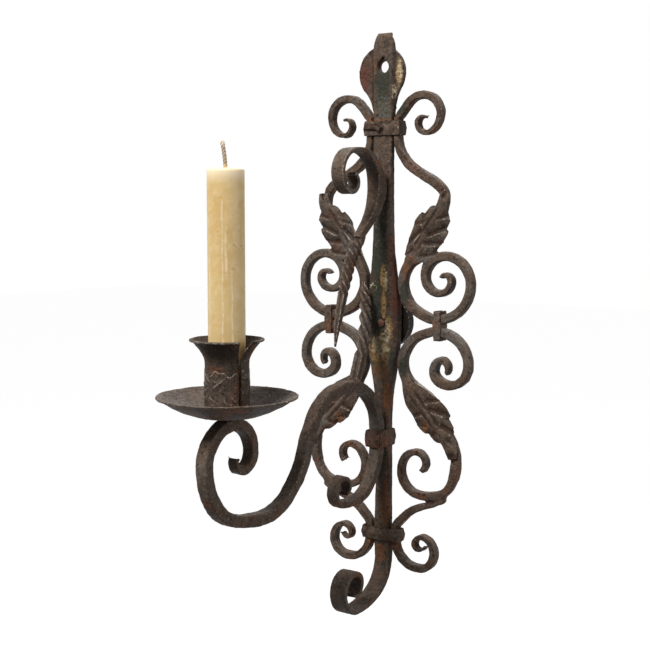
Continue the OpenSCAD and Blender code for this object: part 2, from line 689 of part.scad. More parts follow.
// The lower tendril: up from its foot on the arch, twisted, to an oblique point beside the swelling
arch_top = arch_z + arm_t / 2;
module lower_tendril() {
    w = twist_s + 0.5;
    steps = 26;
    color(iron) difference() {
        side_bar([for (k = [0 : steps]) let (
            s = k / steps,
            c = smooth([[-46, arch_top - 4, 2], [-34.5, arch_top + 17, 0], [-24, arch_top + 32, -3.5],
                [-16, arch_top + 49, -7.5], [-10, arch_top + 64, -11.5], [-7, arch_top + 77, -15]], 5 * s),
            t = w * (s > 0.92 ? 0.45 : 1)
        ) [c[0], c[1], t, w * (1 - 0.75 * pow(s, 12)), c[2], -lower_turn * max(0, s - 0.25)]], 0.9);
        translate([-2 * w, face_y - 60, arch_top + fit - 2 * w]) cube([4 * w, 40, 2 * w]);
    }
}

// The drip pan: a shallow dish with a rolled rim
pan_z = -pan_seat_z;
function dish(r) = pan_h * pow(max(0, r - cup_r) / (pan_r - cup_r), 1.6);
module drip_pan() {
    steps = 12;
    last_r = pan_r - rim_r;
    under = [for (k = [0 : steps]) let (r = cup_r + (last_r - cup_r) * k / steps) [r, dish(r)]];
    over = [for (k = [steps : -1 : 0]) let (r = cup_r + (last_r - cup_r) * k / steps)
        [r - 0.5 * k / steps, dish(r) + pan_t]];
    color(sheet) translate([0, face_y - reach, pan_z]) difference() {
        rotate_extrude($fn = 72) {
            polygon(concat([[0, 0]], under, over, [[0, pan_t]]));
            translate([last_r, dish(last_r) + pan_t - rim_r]) circle(r = rim_r, $fn = 12);
        }
        translate([0, 0, -past]) cylinder(r = cup_rivet_r + fit, h = pan_t + 2 * past);
    }
}

// The candle cup: a tube with a flared mouth, an open seam and a closed floor
cup_z = pan_z + pan_t;
flare_h = cup_h / 3;
function flare(z, r, top) = r + (top - r) * pow(max(0, z - cup_h + flare_h) / flare_h, 2.2);
module candle_cup() {
    steps = 9;
    mouth_z = [for (k = [0 : steps]) cup_h - flare_h + flare_h * k / steps];
    outer = [for (z = mouth_z) [flare(z, cup_r, cup_rim_r), z]];
    inner = [for (k = [steps : -1 : 0])
        [flare(mouth_z[k], cup_r - cup_t, cup_rim_r - cup_t), mouth_z[k] + (k == steps ? 0.6 : 0)]];
    seam = [for (k = [0 : steps]) [slit_w / 2 + 3 * slit_w * pow(k / steps, 2), mouth_z[k] + past * k / steps]];
    color(iron) translate([0, face_y - reach, cup_z]) difference() {
        rotate_extrude($fn = 72)
            polygon(concat([[0, 0], [cup_r, 0]], outer, inner, [[cup_r - cup_t, cup_t], [0, cup_t]]));
        translate([0, 0, -past]) cylinder(r = cup_rivet_r + fit, h = cup_t + 2 * past);
        rotate([90, 0, slit_turn]) linear_extrude(2 * cup_r) polygon(concat(
            seam, [for (k = [steps : -1 : 0]) [-seam[k][0], seam[k][1]]],
            [[-slit_w / 2, 3 * cup_t], [slit_w / 2, 3 * cup_t]]));
    }
}

// The rivet that holds the cup and the pan on the arm
head_h = 1.6;
module cup_rivet() {
    grip = cup_t + pan_t + 0.9 * arm_t;
    color(rust) translate([0, face_y - reach, cup_z + cup_t]) {
        dome(2 * cup_rivet_r, head_h);
        translate([0, 0, -grip]) cylinder(r = cup_rivet_r, h = grip);
    }
}

// The candle, with a bore for its wick and a softened top edge
candle_z = cup_z + cup_t + head_h + fit;
// How far the bore stays above the candle's foot
wick_foot = 5;
module candle() {
    soft = 1.5;
    top = [for (k = [0 : 4]) [candle_r - soft + soft * cos(22.5 * k), candle_l - soft + soft * sin(22.5 * k)]];
    color(wax) translate([0, face_y - reach, candle_z]) difference() {
        rotate_extrude($fn = 64) polygon(concat([[0, 0], [candle_r, 0]], top, [[0, candle_l]]));
        translate([0, 0, wick_foot]) cylinder(r = wick_r, h = candle_l);
    }
}
// The plaited wick: straight in the candle, then a twisted strand that leans over
module wick() {
    strand = [for (j = [0 : 5]) wick_r * (j % 2 == 0 ? 1.1 : 0.75) * [cos(60 * j), sin(60 * j)]];
    path = [for (k = [0 : 10]) [-0.15 * wick_l * pow(k / 10, 2), 0, wick_l * k / 10, 1, 1, 48 * k]];
    color(string_colour) translate([0, face_y - reach, candle_z]) {
        translate([0, 0, wick_foot]) cylinder(r = wick_r - 0.1, h = candle_l - wick_foot + 0.05);
        translate([0, 0, candle_l])
            skin([for (i = [0 : len(path) - 1]) section(path, i, [0, 1, 0], strand)]);
    }
}

back_bar();
wall_disc();
centre_rivet();
upper_sweep_right();
upper_sweep_left();
upper_leaf_scroll_right();
upper_leaf_scroll_left();
lower_leaf_scroll_right();
lower_leaf_scroll_left();
lower_sweep_right();
lower_sweep_left();
tail_scroll_right();
tail_scroll_left();
scroll_clip_right();
scroll_clip_left();
top_collar();
arm_collar();
bottom_collar();
arm();
upper_tendril();
lower_tendril();
drip_pan();
candle_cup();
cup_rivet();
candle();
wick();
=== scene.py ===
import math
import bmesh
import bpy
import numpy as np
from mathutils import Matrix, Vector


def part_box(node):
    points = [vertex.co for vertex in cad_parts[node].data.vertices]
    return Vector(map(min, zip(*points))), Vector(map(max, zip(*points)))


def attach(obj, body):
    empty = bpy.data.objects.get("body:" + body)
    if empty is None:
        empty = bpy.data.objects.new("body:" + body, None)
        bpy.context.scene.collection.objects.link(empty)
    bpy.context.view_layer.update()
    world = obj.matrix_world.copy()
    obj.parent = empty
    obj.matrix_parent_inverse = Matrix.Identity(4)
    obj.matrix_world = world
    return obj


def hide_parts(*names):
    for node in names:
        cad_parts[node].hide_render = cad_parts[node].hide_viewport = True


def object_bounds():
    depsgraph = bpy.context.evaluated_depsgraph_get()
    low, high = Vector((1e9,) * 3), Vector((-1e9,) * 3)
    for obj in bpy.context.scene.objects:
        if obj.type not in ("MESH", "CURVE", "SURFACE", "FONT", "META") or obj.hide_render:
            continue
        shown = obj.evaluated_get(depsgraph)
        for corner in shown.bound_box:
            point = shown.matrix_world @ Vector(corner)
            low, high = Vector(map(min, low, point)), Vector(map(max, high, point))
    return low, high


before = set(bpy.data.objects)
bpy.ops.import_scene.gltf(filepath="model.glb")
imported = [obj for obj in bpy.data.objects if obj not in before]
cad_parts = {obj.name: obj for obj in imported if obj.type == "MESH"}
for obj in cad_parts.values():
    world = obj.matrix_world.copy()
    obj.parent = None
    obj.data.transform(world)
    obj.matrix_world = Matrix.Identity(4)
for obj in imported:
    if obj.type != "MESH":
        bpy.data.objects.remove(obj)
box_at_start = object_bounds()

# The view: the sconce hangs in the open, seen from its right and from a little above, over a plain
# pale floor that reads as white. The light is soft and comes mostly from above and from the left.
VIEW_PLACE = (0.5722, -0.8771, -0.1112)
VIEW_PITCH = 84.43
VIEW_TURN = 35.8
VIEW_LENS = 69.4
SCONCE_MIDDLE = Vector((0.0, -0.1, -0.21))
SKY_LIGHT = 0.11
FLOOR_DROP = 0.45
FLOOR_SIZE = 8
FLOOR_GLOW = 0.96
FLOOR_GREY = (0.22, 0.22, 0.22)


def link(made):
    """Puts a new object in the scene."""
    bpy.context.scene.collection.objects.link(made)
    return made


def made_of(bm, name):
    """A new object in the scene with the mesh that was shaped for it."""
    mesh = bpy.data.meshes.new(name)
    bm.to_mesh(mesh)
    bm.free()
    return link(bpy.data.objects.new(name, mesh))


def new_finish(name):
    """A new material, with the tree of its shader."""
    material = bpy.data.materials.new(name)
    material.use_nodes = True
    return material, material.node_tree


def give(tree, made, inputs):
    """Links each input of a node to the socket given for it, or sets it to the value given."""
    for name, value in inputs.items():
        if isinstance(value, bpy.types.NodeSocket):
            tree.links.new(value, made.inputs[name])
        else:
            made.inputs[name].default_value = value
    return made


def node(tree, kind, inputs=(), **settings):
    """A new shader node with its inputs and settings."""
    made = tree.nodes.new("ShaderNode" + kind)
    for name, value in settings.items():
        setattr(made, name, value)
    return give(tree, made, dict(inputs))


def seen_share(tree):
    """1 where the surface is seen straight, reflected or through glass, and 0 where it gives light."""
    ray = node(tree, "LightPath").outputs
    either = node(tree, "Math", {0: ray["Is Camera Ray"], 1: ray["Is Glossy Ray"]}, operation="MAXIMUM")
    return node(tree, "Math", {0: either.outputs[0], 1: ray["Is Transmission Ray"]},
        operation="MAXIMUM").outputs[0]


view = link(bpy.data.objects.new("view", bpy.data.cameras.new("view")))
view.data.lens = VIEW_LENS
view.location = VIEW_PLACE
view.rotation_euler = (Matrix.Rotation(math.radians(VIEW_TURN), 3, "Z")
    @ Matrix.Rotation(math.radians(VIEW_PITCH), 3, "X")).to_euler()
bpy.context.scene.camera = view
bpy.context.scene.view_settings.view_transform = "Standard"

to_viewer = Vector((math.sin(math.radians(VIEW_TURN)), -math.cos(math.radians(VIEW_TURN)), 0))
to_right = Vector((math.cos(math.radians(VIEW_TURN)), math.sin(math.radians(VIEW_TURN)), 0))
# Each lamp's place to the right, towards the viewer and up from the sconce, its size and its power
for name, right, near, up, size, power in (
    ("lamp_high_left", -0.8, 0.8, 1.3, 0.6, 39),
    ("lamp_right", 1.3, 0.6, 0.4, 0.9, 9),
    ("lamp_behind", 0.3, -1.2, 0.9, 1.0, 9),
):
    lamp = link(bpy.data.objects.new(name, bpy.data.lights.new(name, "AREA")))
    lamp.data.size = size
    lamp.data.energy = power
    lamp.location = SCONCE_MIDDLE + right * to_right + near * to_viewer + Vector((0, 0, up))
    lamp.rotation_euler = (SCONCE_MIDDLE - lamp.location).to_track_quat("-Z", "Y").to_euler()

sky = bpy.data.worlds.new("sky")
sky.use_nodes = True
bpy.context.scene.world = sky
sky_strength = node(sky.node_tree, "MapRange", {"Value": seen_share(sky.node_tree), "To Min": SKY_LIGHT})
give(sky.node_tree, sky.node_tree.nodes["Background"], {"Color": (1, 1, 1, 1),
    "Strength": sky_strength.outputs[0]})

floor_bm = bmesh.new()
bmesh.ops.create_grid(floor_bm, x_segments=1, y_segments=1, size=FLOOR_SIZE,
    matrix=Matrix.Translation((0, 0, box_at_start[0][2] - FLOOR_DROP)))
floor = made_of(floor_bm, "floor")
floor_paper, paper = new_finish("floor_paper")
paper_grey = node(paper, "BsdfDiffuse", {"Color": (*FLOOR_GREY, 1)})
paper_share = node(paper, "Math", {0: seen_share(paper), 1: FLOOR_GLOW}, operation="MULTIPLY")
paper_glow = node(paper, "Emission", {"Strength": paper_share.outputs[0]})
paper_both = node(paper, "AddShader", {0: paper_grey.outputs[0], 1: paper_glow.outputs[0]})
give(paper, paper.nodes["Material Output"], {"Surface": paper_both.outputs[0]})
floor.data.materials.append(floor_paper)

# The back bar: one forging in wrought iron, from the folded lip over the round eye, the neck and the
# long swelling down to the rolled foot. It is black with age, with green paint left on its front,
# ochre and cream crusts on the swelling and the eye, and rust along its sides.
IRON_BLACK = (0.014, 0.011, 0.009)
IRON_BROWN = (0.126, 0.084, 0.059)
# Grey for clouds of painted sheen
IRON_GREY_SHEEN = (0.14, 0.12, 0.102)
# Pale grey for rubbed arrises, partly real wear and partly painted highlight
IRON_WORN_AND_HIGHLIGHT = (0.34, 0.29, 0.25)
RUST = (0.215, 0.095, 0.045)
RUST_DEEP = (0.095, 0.038, 0.024)
OCHRE = (0.36, 0.22, 0.085)
CREAM = (0.5, 0.42, 0.28)
OLD_GREEN = (0.034, 0.042, 0.031)
OLD_RED = (0.12, 0.046, 0.034)
PINK_BROWN = (0.17, 0.105, 0.082)
GREEN_GREY = (0.115, 0.125, 0.1)
CRUST_BROWN = (0.175, 0.098, 0.052)


def noise_of(tree, size, detail, rough, seed):
    """A cloudy value from 0 to 1 over the piece, with clouds of a size in metres."""
    where = node(tree, "TexCoord").outputs["Object"]
    return node(tree, "TexNoise", {"Vector": where, "W": seed, "Scale": 1 / size, "Detail": detail,
        "Roughness": rough}, noise_dimensions="4D").outputs["Fac"]


def band(tree, value, low, high, to_low=0.0, to_high=1.0):
    """A value brought smoothly from one range to another."""
    return node(tree, "MapRange", {"Value": value, "From Min": low, "From Max": high,
        "To Min": to_low, "To Max": to_high}, interpolation_type="SMOOTHSTEP").outputs[0]


def joined(tree, a, b, operation="ADD"):
    """Two values added, or joined by another operation."""
    return node(tree, "Math", {0: a, 1: b}, operation=operation).outputs[0]


def times(tree, a, b):
    """One value multiplied by another."""
    return joined(tree, a, b, operation="MULTIPLY")


def over(tree, share, under, colour):
    """A colour laid over what is under it, by a share."""
    under, colour = (value if isinstance(value, bpy.types.NodeSocket) else (*value, 1)
        for value in (under, colour))
    return node(tree, "Mix", {0: share, 6: under, 7: colour}, data_type="RGBA").outputs[2]


def patch(tree, middle, reach, ragged, broken):
    """The share of a ragged patch round a middle, which reaches as far as given along X, Y and Z and is
    broken up where its grains lie under a level."""
    where = node(tree, "Mapping", {"Vector": node(tree, "TexCoord").outputs["Object"],
        "Location": middle, "Scale": reach}, vector_type="TEXTURE").outputs[0]
    far = node(tree, "VectorMath", {0: where}, operation="LENGTH").outputs["Value"]
    torn = joined(tree, noise_of(tree, 0.004, 6, 0.7, 7.0), 0.5, "SUBTRACT")
    near = joined(tree, joined(tree, 1.0, far, "SUBTRACT"), times(tree, torn, ragged * 2))
    whole = band(tree, near, 0.2, 0.5)
    if not broken:
        return whole
    grains = noise_of(tree, 0.0022, 4, 0.7, 17.0)
    return times(tree, whole, band(tree, grains, broken - 0.06, broken + 0.06))


def forged_iron(name, ground=IRON_BROWN, black=0.75, grey_sheen=0.4, rusty=0.4, wear_and_highlight=0.5, patches=()):
    """Old forged iron: black scale over a brown ground, grey clouds of painted sheen, rust in the hollows,
    pale specks and bright, worn arrises that are partly painted highlight, and painted shade that darkens
    the hollows and the faces turned down or to the wall. Each of the patches is a colour with its middle,
    its reach, how ragged it is and how broken."""
    material, tree = new_finish(name)
    arris = node(tree, "Attribute", attribute_name="arris").outputs["Fac"]
    hollow = node(tree, "Attribute", attribute_name="hollow").outputs["Fac"]
    underside_shade_and_rust = node(tree, "Attribute", attribute_name="underside_shade_and_rust").outputs["Fac"]
    grain = noise_of(tree, 0.0012, 4, 0.65, 3.0)
    speck = noise_of(tree, 0.0021, 3, 0.6, 9.0)
    mottle = noise_of(tree, 0.006, 8, 0.75, 5.0)
    cloud = noise_of(tree, 0.02, 6, 0.65, 1.0)
    drift = noise_of(tree, 0.034, 5, 0.6, 11.0)
    colour = over(tree, band(tree, mottle, 0.44, 0.62, 0.0, 0.85 * black), ground, IRON_BLACK)
    # Painted sheen: grey clouds laid over the iron at random.
    colour = over(tree, band(tree, drift, 0.46, 0.62, 0.0, grey_sheen), colour, IRON_GREY_SHEEN)
    # Painted shade: faces turned down or to the wall go towards black.
    colour = over(tree, times(tree, underside_shade_and_rust, 0.68), colour, IRON_BLACK)
    rust_here = joined(tree, cloud, times(tree, hollow, 0.14))
    rust_here = joined(tree, rust_here, times(tree, underside_shade_and_rust, 0.13))
    rust_share = band(tree, rust_here, 0.66 - 0.22 * rusty, 0.8 - 0.22 * rusty, 0.0, 0.8)
    colour = over(tree, rust_share, colour, over(tree, band(tree, grain, 0.36, 0.62), RUST_DEEP, RUST))
    colour = over(tree, band(tree, speck, 0.44, 0.34, 0.0, 0.65), colour, IRON_BLACK)
    colour = over(tree, band(tree, grain, 0.48, 0.34, 0.0, 0.5), colour, IRON_BLACK)
    pale = band(tree, joined(tree, speck, grain), 1.12, 1.28, 0.0, 0.2 + 0.4 * wear_and_highlight)
    # Rubbed arrises and grain in pale grey with some metal, partly real wear and partly painted highlight.
    rubbed_and_highlit_here = joined(tree, times(tree, arris, 0.55), times(tree, grain, 0.9))
    rubbed_and_highlit = band(tree, rubbed_and_highlit_here, 0.88 - 0.3 * wear_and_highlight, 1.12 - 0.3 * wear_and_highlight, 0.0, 0.85)
    bright = joined(tree, pale, rubbed_and_highlit, "MAXIMUM")
    colour = over(tree, bright, colour, IRON_WORN_AND_HIGHLIGHT)
    # Painted shade: the hollows go towards black.
    colour = over(tree, times(tree, hollow, 0.7), colour, IRON_BLACK)
    crust = None
    for tint, middle, reach, ragged, broken in patches:
        share = patch(tree, middle, reach, ragged, broken)
        strength = times(tree, share, band(tree, grain, 0.3, 0.62, 0.55, 1.0))
        colour = over(tree, strength, colour, tint)
        crust = share if crust is None else joined(tree, crust, share, "MAXIMUM")
    rough = band(tree, joined(tree, cloud, grain), 0.7, 1.4, 0.48, 0.78)
    height = joined(tree, times(tree, grain, 0.6), band(tree, speck, 0.3, 0.5))
    if crust is not None:
        rough = joined(tree, rough, times(tree, crust, 0.2))
        crumbs = times(tree, times(tree, crust, speck), 1.5)
        height = joined(tree, height, crumbs)
    bump = node(tree, "Bump", {"Height": height, "Strength": 0.8, "Distance": 0.0005})
    give(tree, tree.nodes["Principled BSDF"], {"Base Color": colour, "Roughness": rough,
        "Metallic": times(tree, bright, 0.3), "Specular IOR Level": 0.11, "Normal": bump.outputs[0]})
    return material


def marks(name, size, depth=2):
    """A texture for marks in the iron, of a size in metres."""
    made = bpy.data.textures.new(name, "CLOUDS")
    made.noise_scale = size
    made.noise_depth = depth
    return made


WAVES = marks("waves", 0.016)
BLOWS = marks("blows", 0.006, 1)
SCALE_PITS = marks("scale_pits", 0.0022)
# The bend per metre from which an arris or a hollow shows, and how much more makes it show fully
ARRIS_FROM = 260
ARRIS_SPAN = 500
HOLLOW_FROM = 40
HOLLOW_SPAN = 260
HOLLOW_ROUNDS = 6


def points_of(mesh, what="co"):
    """The places of a mesh's points, or the ways in which they face, as rows of X, Y and Z."""
    rows = np.empty(len(mesh.vertices) * 3)
    if what == "co":
        mesh.vertices.foreach_get("co", rows)
    else:
        mesh.vertex_normals.foreach_get("vector", rows)
    return rows.reshape(-1, 3)


def marked(mesh, name, values):
    """Stores a value for each of a mesh's points."""
    layer = mesh.attributes.new(name, "FLOAT", "POINT")
    layer.data.foreach_set("value", values.astype(np.float32))


def curvature(mesh):
    """Stores how sharply each point stands out of its neighbours as arris, how it lies in as hollow, and
    how far it faces down or to the wall, which the iron uses for painted shade and for rust."""
    place = points_of(mesh)
    count = len(place)
    ends = np.empty(len(mesh.edges) * 2, dtype=np.int64)
    mesh.edges.foreach_get("vertices", ends)
    a, b = ends[0::2], ends[1::2]
    total = np.maximum(np.bincount(a, minlength=count) + np.bincount(b, minlength=count), 1)

    def mean(values):
        return (np.bincount(a, values[b], count) + np.bincount(b, values[a], count)) / total

    around = np.stack([mean(place[:, axis]) for axis in range(3)], 1)
    spacing = np.linalg.norm(place[a] - place[b], axis=1).mean()
    bend = 4 * ((place - around) * points_of(mesh, "normal")).sum(1) / spacing ** 2
    sharp = 0.5 * bend + 0.5 * mean(bend)
    broad = bend
    for _ in range(HOLLOW_ROUNDS):
        broad = mean(broad)
    facing = points_of(mesh, "normal")
    # How far each point faces down or to the wall, for painted shade and for rust
    away = 0.42 - 0.85 * facing[:, 2] + 0.25 * facing[:, 1]
    arris = (sharp - ARRIS_FROM) / ARRIS_SPAN
    hollow = (-broad - HOLLOW_FROM) / HOLLOW_SPAN
    for name, values in (("arris", arris), ("hollow", hollow), ("underside_shade_and_rust", away)):
        marked(mesh, name, np.clip(values, 0, 1))


def baked(piece):
    """The piece with its modifiers made part of its mesh."""
    bpy.context.view_layer.update()
    done = bpy.data.meshes.new_from_object(piece.evaluated_get(bpy.context.evaluated_depsgraph_get()))
    piece.modifiers.clear()
    piece.data = done
    return piece


def evened(piece, skin):
    """The piece with an even skin of small faces for the marks."""
    even = piece.modifiers.new("even", "REMESH")
    even.mode = "VOXEL"
    even.voxel_size = skin
    return baked(piece)


def cut_away(bm, place, way):
    """Takes away what lies past a place and closes the cut."""
    bmesh.ops.bisect_plane(bm, geom=bm.verts[:] + bm.edges[:] + bm.faces[:], plane_co=place,
        plane_no=way, clear_outer=True)
    bmesh.ops.holes_fill(bm, edges=[edge for edge in bm.edges if edge.is_boundary])


def plate(bm, outline, front, back):
    """Adds a flat plate with an outline through X and Z, between two places along Y, in millimetres."""
    face = bm.faces.new([bm.verts.new((x / 1000, front / 1000, z / 1000)) for x, z in outline])
    grown = bmesh.ops.extrude_face_region(bm, geom=[face])["geom"]
    far = [part for part in grown if isinstance(part, bmesh.types.BMVert)]
    bmesh.ops.translate(bm, vec=(0, (back - front) / 1000, 0), verts=far)


# How near two points are one, how flat and how square two triangles have to lie to be joined, and the
# bend that stays an arris
SAME_PLACE = 0.00001
FLAT_ENOUGH = 0.35
SQUARE_ENOUGH = 1.2
ARRIS_BEND = 24


def drawn_out(name, *cad_nodes, skin=0.0006, rounding=2, cut_off=None, plates=()):
    """The blank of a forging: its plain forms made one, with even skin and rounded bends. The first form
    can be cut off past a distance from the middle, and plates can be forged on."""
    bm = bmesh.new()
    for cad_node in cad_nodes:
        bm.from_mesh(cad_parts[cad_node].data)
        bmesh.ops.remove_doubles(bm, verts=bm.verts, dist=SAME_PLACE)
        if cut_off and cad_node == cad_nodes[0]:
            out = math.copysign(1, sum(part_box(cad_node)[k].x for k in (0, 1)))
            cut_away(bm, (out * cut_off, 0, 0), (out, 0, 0))
    for outline, front, back in plates:
        plate(bm, outline, front, back)
    bmesh.ops.recalc_face_normals(bm, faces=bm.faces)
    bmesh.ops.join_triangles(bm, faces=bm.faces, angle_face_threshold=FLAT_ENOUGH,
        angle_shape_threshold=SQUARE_ENOUGH)
    crease = bm.edges.layers.float.new("crease_edge")
    for edge in bm.edges:
        edge[crease] = 1.0 if edge.calc_face_angle(0) > math.radians(ARRIS_BEND) else 0.0
    piece = made_of(bm, name)
    round_off = piece.modifiers.new("round_off", "SUBSURF")
    round_off.levels = round_off.render_levels = rounding
    return evened(piece, skin)


def hammered(piece, waves=0.0008, blows=0.0006, pits=0.00028, edge_wear=2):
    """The piece with its long edges rounded by wear, and its faces beaten inwards by waves, blows and
    pits, each so many metres deep."""
    wear = piece.modifiers.new("wear", "SMOOTH")
    wear.iterations = edge_wear
    wear.factor = 0.5
    for texture, depth in ((WAVES, waves), (BLOWS, blows), (SCALE_PITS, pits)):
        beaten = piece.modifiers.new(texture.name, "DISPLACE")
        beaten.texture = texture
        beaten.texture_coords = "LOCAL"
        beaten.mid_level = 1.0
        beaten.strength = depth
    return baked(piece)


def fitted(piece, material, slot, *cad_nodes, body="sconce"):
    """Smooths the shading, marks the arrises of the iron and puts the piece in the place of its plain
    forms."""
    piece.data.polygons.foreach_set("use_smooth", [True] * len(piece.data.polygons))
    if body == "sconce":
        curvature(piece.data)
    piece.data.materials.clear()
    piece.data.materials.append(material)
    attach(piece, body)
    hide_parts(*cad_nodes)
    return piece


# Where the bar's front and the swelling's front lie along Y
FACE = -0.0045
SWELL = -0.005
# The concave shoulders between the eye and the neck, through X and Z in millimetres, with the places of
# their front and back along Y
SHOULDER_FRONT = -1.4
SHOULDER_BACK = 3.4
RIGHT_SHOULDER = [(12, -15), (16.6, -16.5), (13.6, -21.5), (11.7, -27), (10.5, -33), (9.75, -41),
    (5, -41), (5, -15)]
LEFT_SHOULDER = [(-14, -16), (-20.2, -18.5), (-16.2, -23), (-13, -28.5), (-11, -35), (-9.75, -43),
    (-5, -43), (-5, -16)]
bar_iron = forged_iron("bar_iron", black=0.75, grey_sheen=0.3, rusty=0.42, wear_and_highlight=0.45, patches=[
    (OLD_RED, (-0.019, FACE, -0.008), (0.008, 0.012, 0.022), 0.8, 0.36),
    (OLD_GREEN, (0.000, FACE, -0.012), (0.012, 0.009, 0.03), 0.7, 0.42),
    (GREEN_GREY, (0.001, FACE, -0.034), (0.01, 0.006, 0.016), 0.9, 0.5),
    (RUST, (0.0, FACE, -0.046), (0.016, 0.009, 0.006), 0.7, 0.38),
    (OCHRE, (0.015, FACE, -0.005), (0.0052, 0.012, 0.017), 0.6, 0.42),
    (CREAM, (0.0152, FACE, -0.004), (0.0048, 0.012, 0.015), 0.7, 0.5),
    (CREAM, (0.0105, FACE, -0.02), (0.003, 0.012, 0.01), 0.8, 0.5),
    (OLD_RED, (0.0125, 0.002, -0.165), (0.0045, 0.012, 0.095), 0.8, 0.36),
    (OLD_GREEN, (-0.003, SWELL, -0.185), (0.014, 0.012, 0.105), 0.7, 0.42),
    (CREAM, (-0.008, SWELL, -0.18), (0.005, 0.006, 0.009), 1.0, 0.55),
    (OCHRE, (0.002, SWELL, -0.174), (0.0058, 0.008, 0.018), 0.8, 0.42),
    (CREAM, (0.0035, SWELL, -0.174), (0.0042, 0.008, 0.015), 0.9, 0.51),
    (CRUST_BROWN, (0.002, SWELL, -0.196), (0.0048, 0.008, 0.02), 0.8, 0.38),
    (OCHRE, (0.002, SWELL, -0.197), (0.0034, 0.008, 0.018), 0.8, 0.44),
    (OCHRE, (0.007, SWELL, -0.216), (0.006, 0.009, 0.015), 0.8, 0.44),
    (OCHRE, (-0.002, SWELL, -0.234), (0.016, 0.011, 0.018), 0.8, 0.4),
    (CREAM, (0.006, SWELL, -0.219), (0.005, 0.009, 0.013), 0.9, 0.5),
    (CREAM, (-0.002, SWELL, -0.231), (0.014, 0.01, 0.014), 0.9, 0.47),
    (CRUST_BROWN, (-0.002, SWELL, -0.252), (0.014, 0.01, 0.012), 0.8, 0.36),
    (OLD_GREEN, (0.01, SWELL, -0.242), (0.004, 0.01, 0.016), 0.6, 0.0),
    (RUST, (0.006, SWELL, -0.275), (0.006, 0.012, 0.022), 0.9, 0.44),
    (OLD_RED, (0.0055, -0.004, -0.293), (0.002, 0.006, 0.007), 0.6, 0.0),
    (RUST, (0.004, -0.002, -0.365), (0.006, 0.008, 0.03), 0.9, 0.46),
    (RUST, (-0.002, -0.002, -0.408), (0.009, 0.01, 0.014), 0.9, 0.42),
    (OLD_GREEN, (0.002, -0.002, -0.419), (0.004, 0.006, 0.006), 0.9, 0.42),
    (PINK_BROWN, (-0.006, 0.0, -0.436), (0.024, 0.016, 0.024), 0.9, 0.4),
])
shoulders = [(outline, SHOULDER_FRONT, SHOULDER_BACK) for outline in (RIGHT_SHOULDER, LEFT_SHOULDER)]
bar = drawn_out("back_bar_forging", "back_bar", skin=0.00065, plates=shoulders)
fitted(hammered(bar, waves=0.0006, blows=0.0004), bar_iron, "forged_iron", "back_bar")

# The wall disc: a plain round spacer turned from bar, with its edges eased. It sits behind the
# swelling on the rivet and is coloured almost black, with hardly any wear.
DISC_EASE = 0.0008
DISC_BORE = 0.00315
DISC_NEAR_BLACK = (0.012, 0.01, 0.008)


def arc(middle, height, r, start, stop, steps):
    """The points of an arc in a turned outline, as radius and height, with its angles in degrees."""
    turns = [math.radians(start + (stop - start) * k / steps) for k in range(steps + 1)]
    return [(middle + r * math.cos(turn), height + r * math.sin(turn)) for turn in turns]


def closed_up(bm, name, gap):
    """A new object from a mesh whose seams are merged, with its faces pointing outwards."""
    bmesh.ops.remove_doubles(bm, verts=bm.verts, dist=gap)
    bmesh.ops.recalc_face_normals(bm, faces=bm.faces)
    return made_of(bm, name)


def turned(name, outline, closed=True, steps=96):
    """A solid turned round the upright axis from an outline of radius and height. A closed outline
    leaves a bore, and an open one starts and ends on the axis."""
    bm = bmesh.new()
    points = [bm.verts.new((r, 0, z)) for r, z in outline]
    last = points[1:] + points[:1] if closed else points[1:]
    sides = [bm.edges.new(pair) for pair in zip(points, last)]
    bmesh.ops.spin(bm, geom=points + sides, cent=(0, 0, 0), axis=(0, 0, 1), angle=math.tau, steps=steps,
        use_merge=True)
    return closed_up(bm, name, 0.000005)


def put(piece, turn, place):
    """Turns a piece's mesh and moves it to its place, with the object left at the origin."""
    piece.data.transform(Matrix.Translation(place) @ turn)
    return piece


def middle_of(cad_node):
    """The middle of a plain form's box, and half its size."""
    low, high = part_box(cad_node)
    return (low + high) / 2, (high - low) / 2


FORWARD = Matrix.Rotation(math.radians(90), 4, "X")
disc_middle, disc_half = middle_of("wall_disc")
disc_outline = (
    [(DISC_BORE, -disc_half.y), (DISC_BORE, disc_half.y)]
    + arc(disc_half.x - DISC_EASE, disc_half.y - DISC_EASE, DISC_EASE, 90, 0, 4)
    + arc(disc_half.x - DISC_EASE, DISC_EASE - disc_half.y, DISC_EASE, 0, -90, 4)
)
disc_near_black = forged_iron("disc_near_black", DISC_NEAR_BLACK, black=0.9, grey_sheen=0.0, rusty=0.05, wear_and_highlight=0.0)
disc = evened(put(turned("wall_disc_turned", disc_outline), FORWARD, disc_middle), 0.0006)
fitted(hammered(disc, 0.0001, 0.0001, 0.0001), disc_near_black, "black_iron", "wall_disc")

# The centre rivet: a round pin through the bar and the disc. Its end was closed to a small lumpy
# dome with a hammer, and the dome has rusted pink and brown.
RIVET_PINK = (0.22, 0.105, 0.075)
RIVET_SHANK_R = 0.003
# How high the dome is for its radius, and its steps from the rim to the top
DOME_RISE = 0.42
DOME_STEPS = 6
rivet_rust = forged_iron("rivet_rust", RIVET_PINK, black=0.35, grey_sheen=0.0, rusty=1.0, wear_and_highlight=0.5)


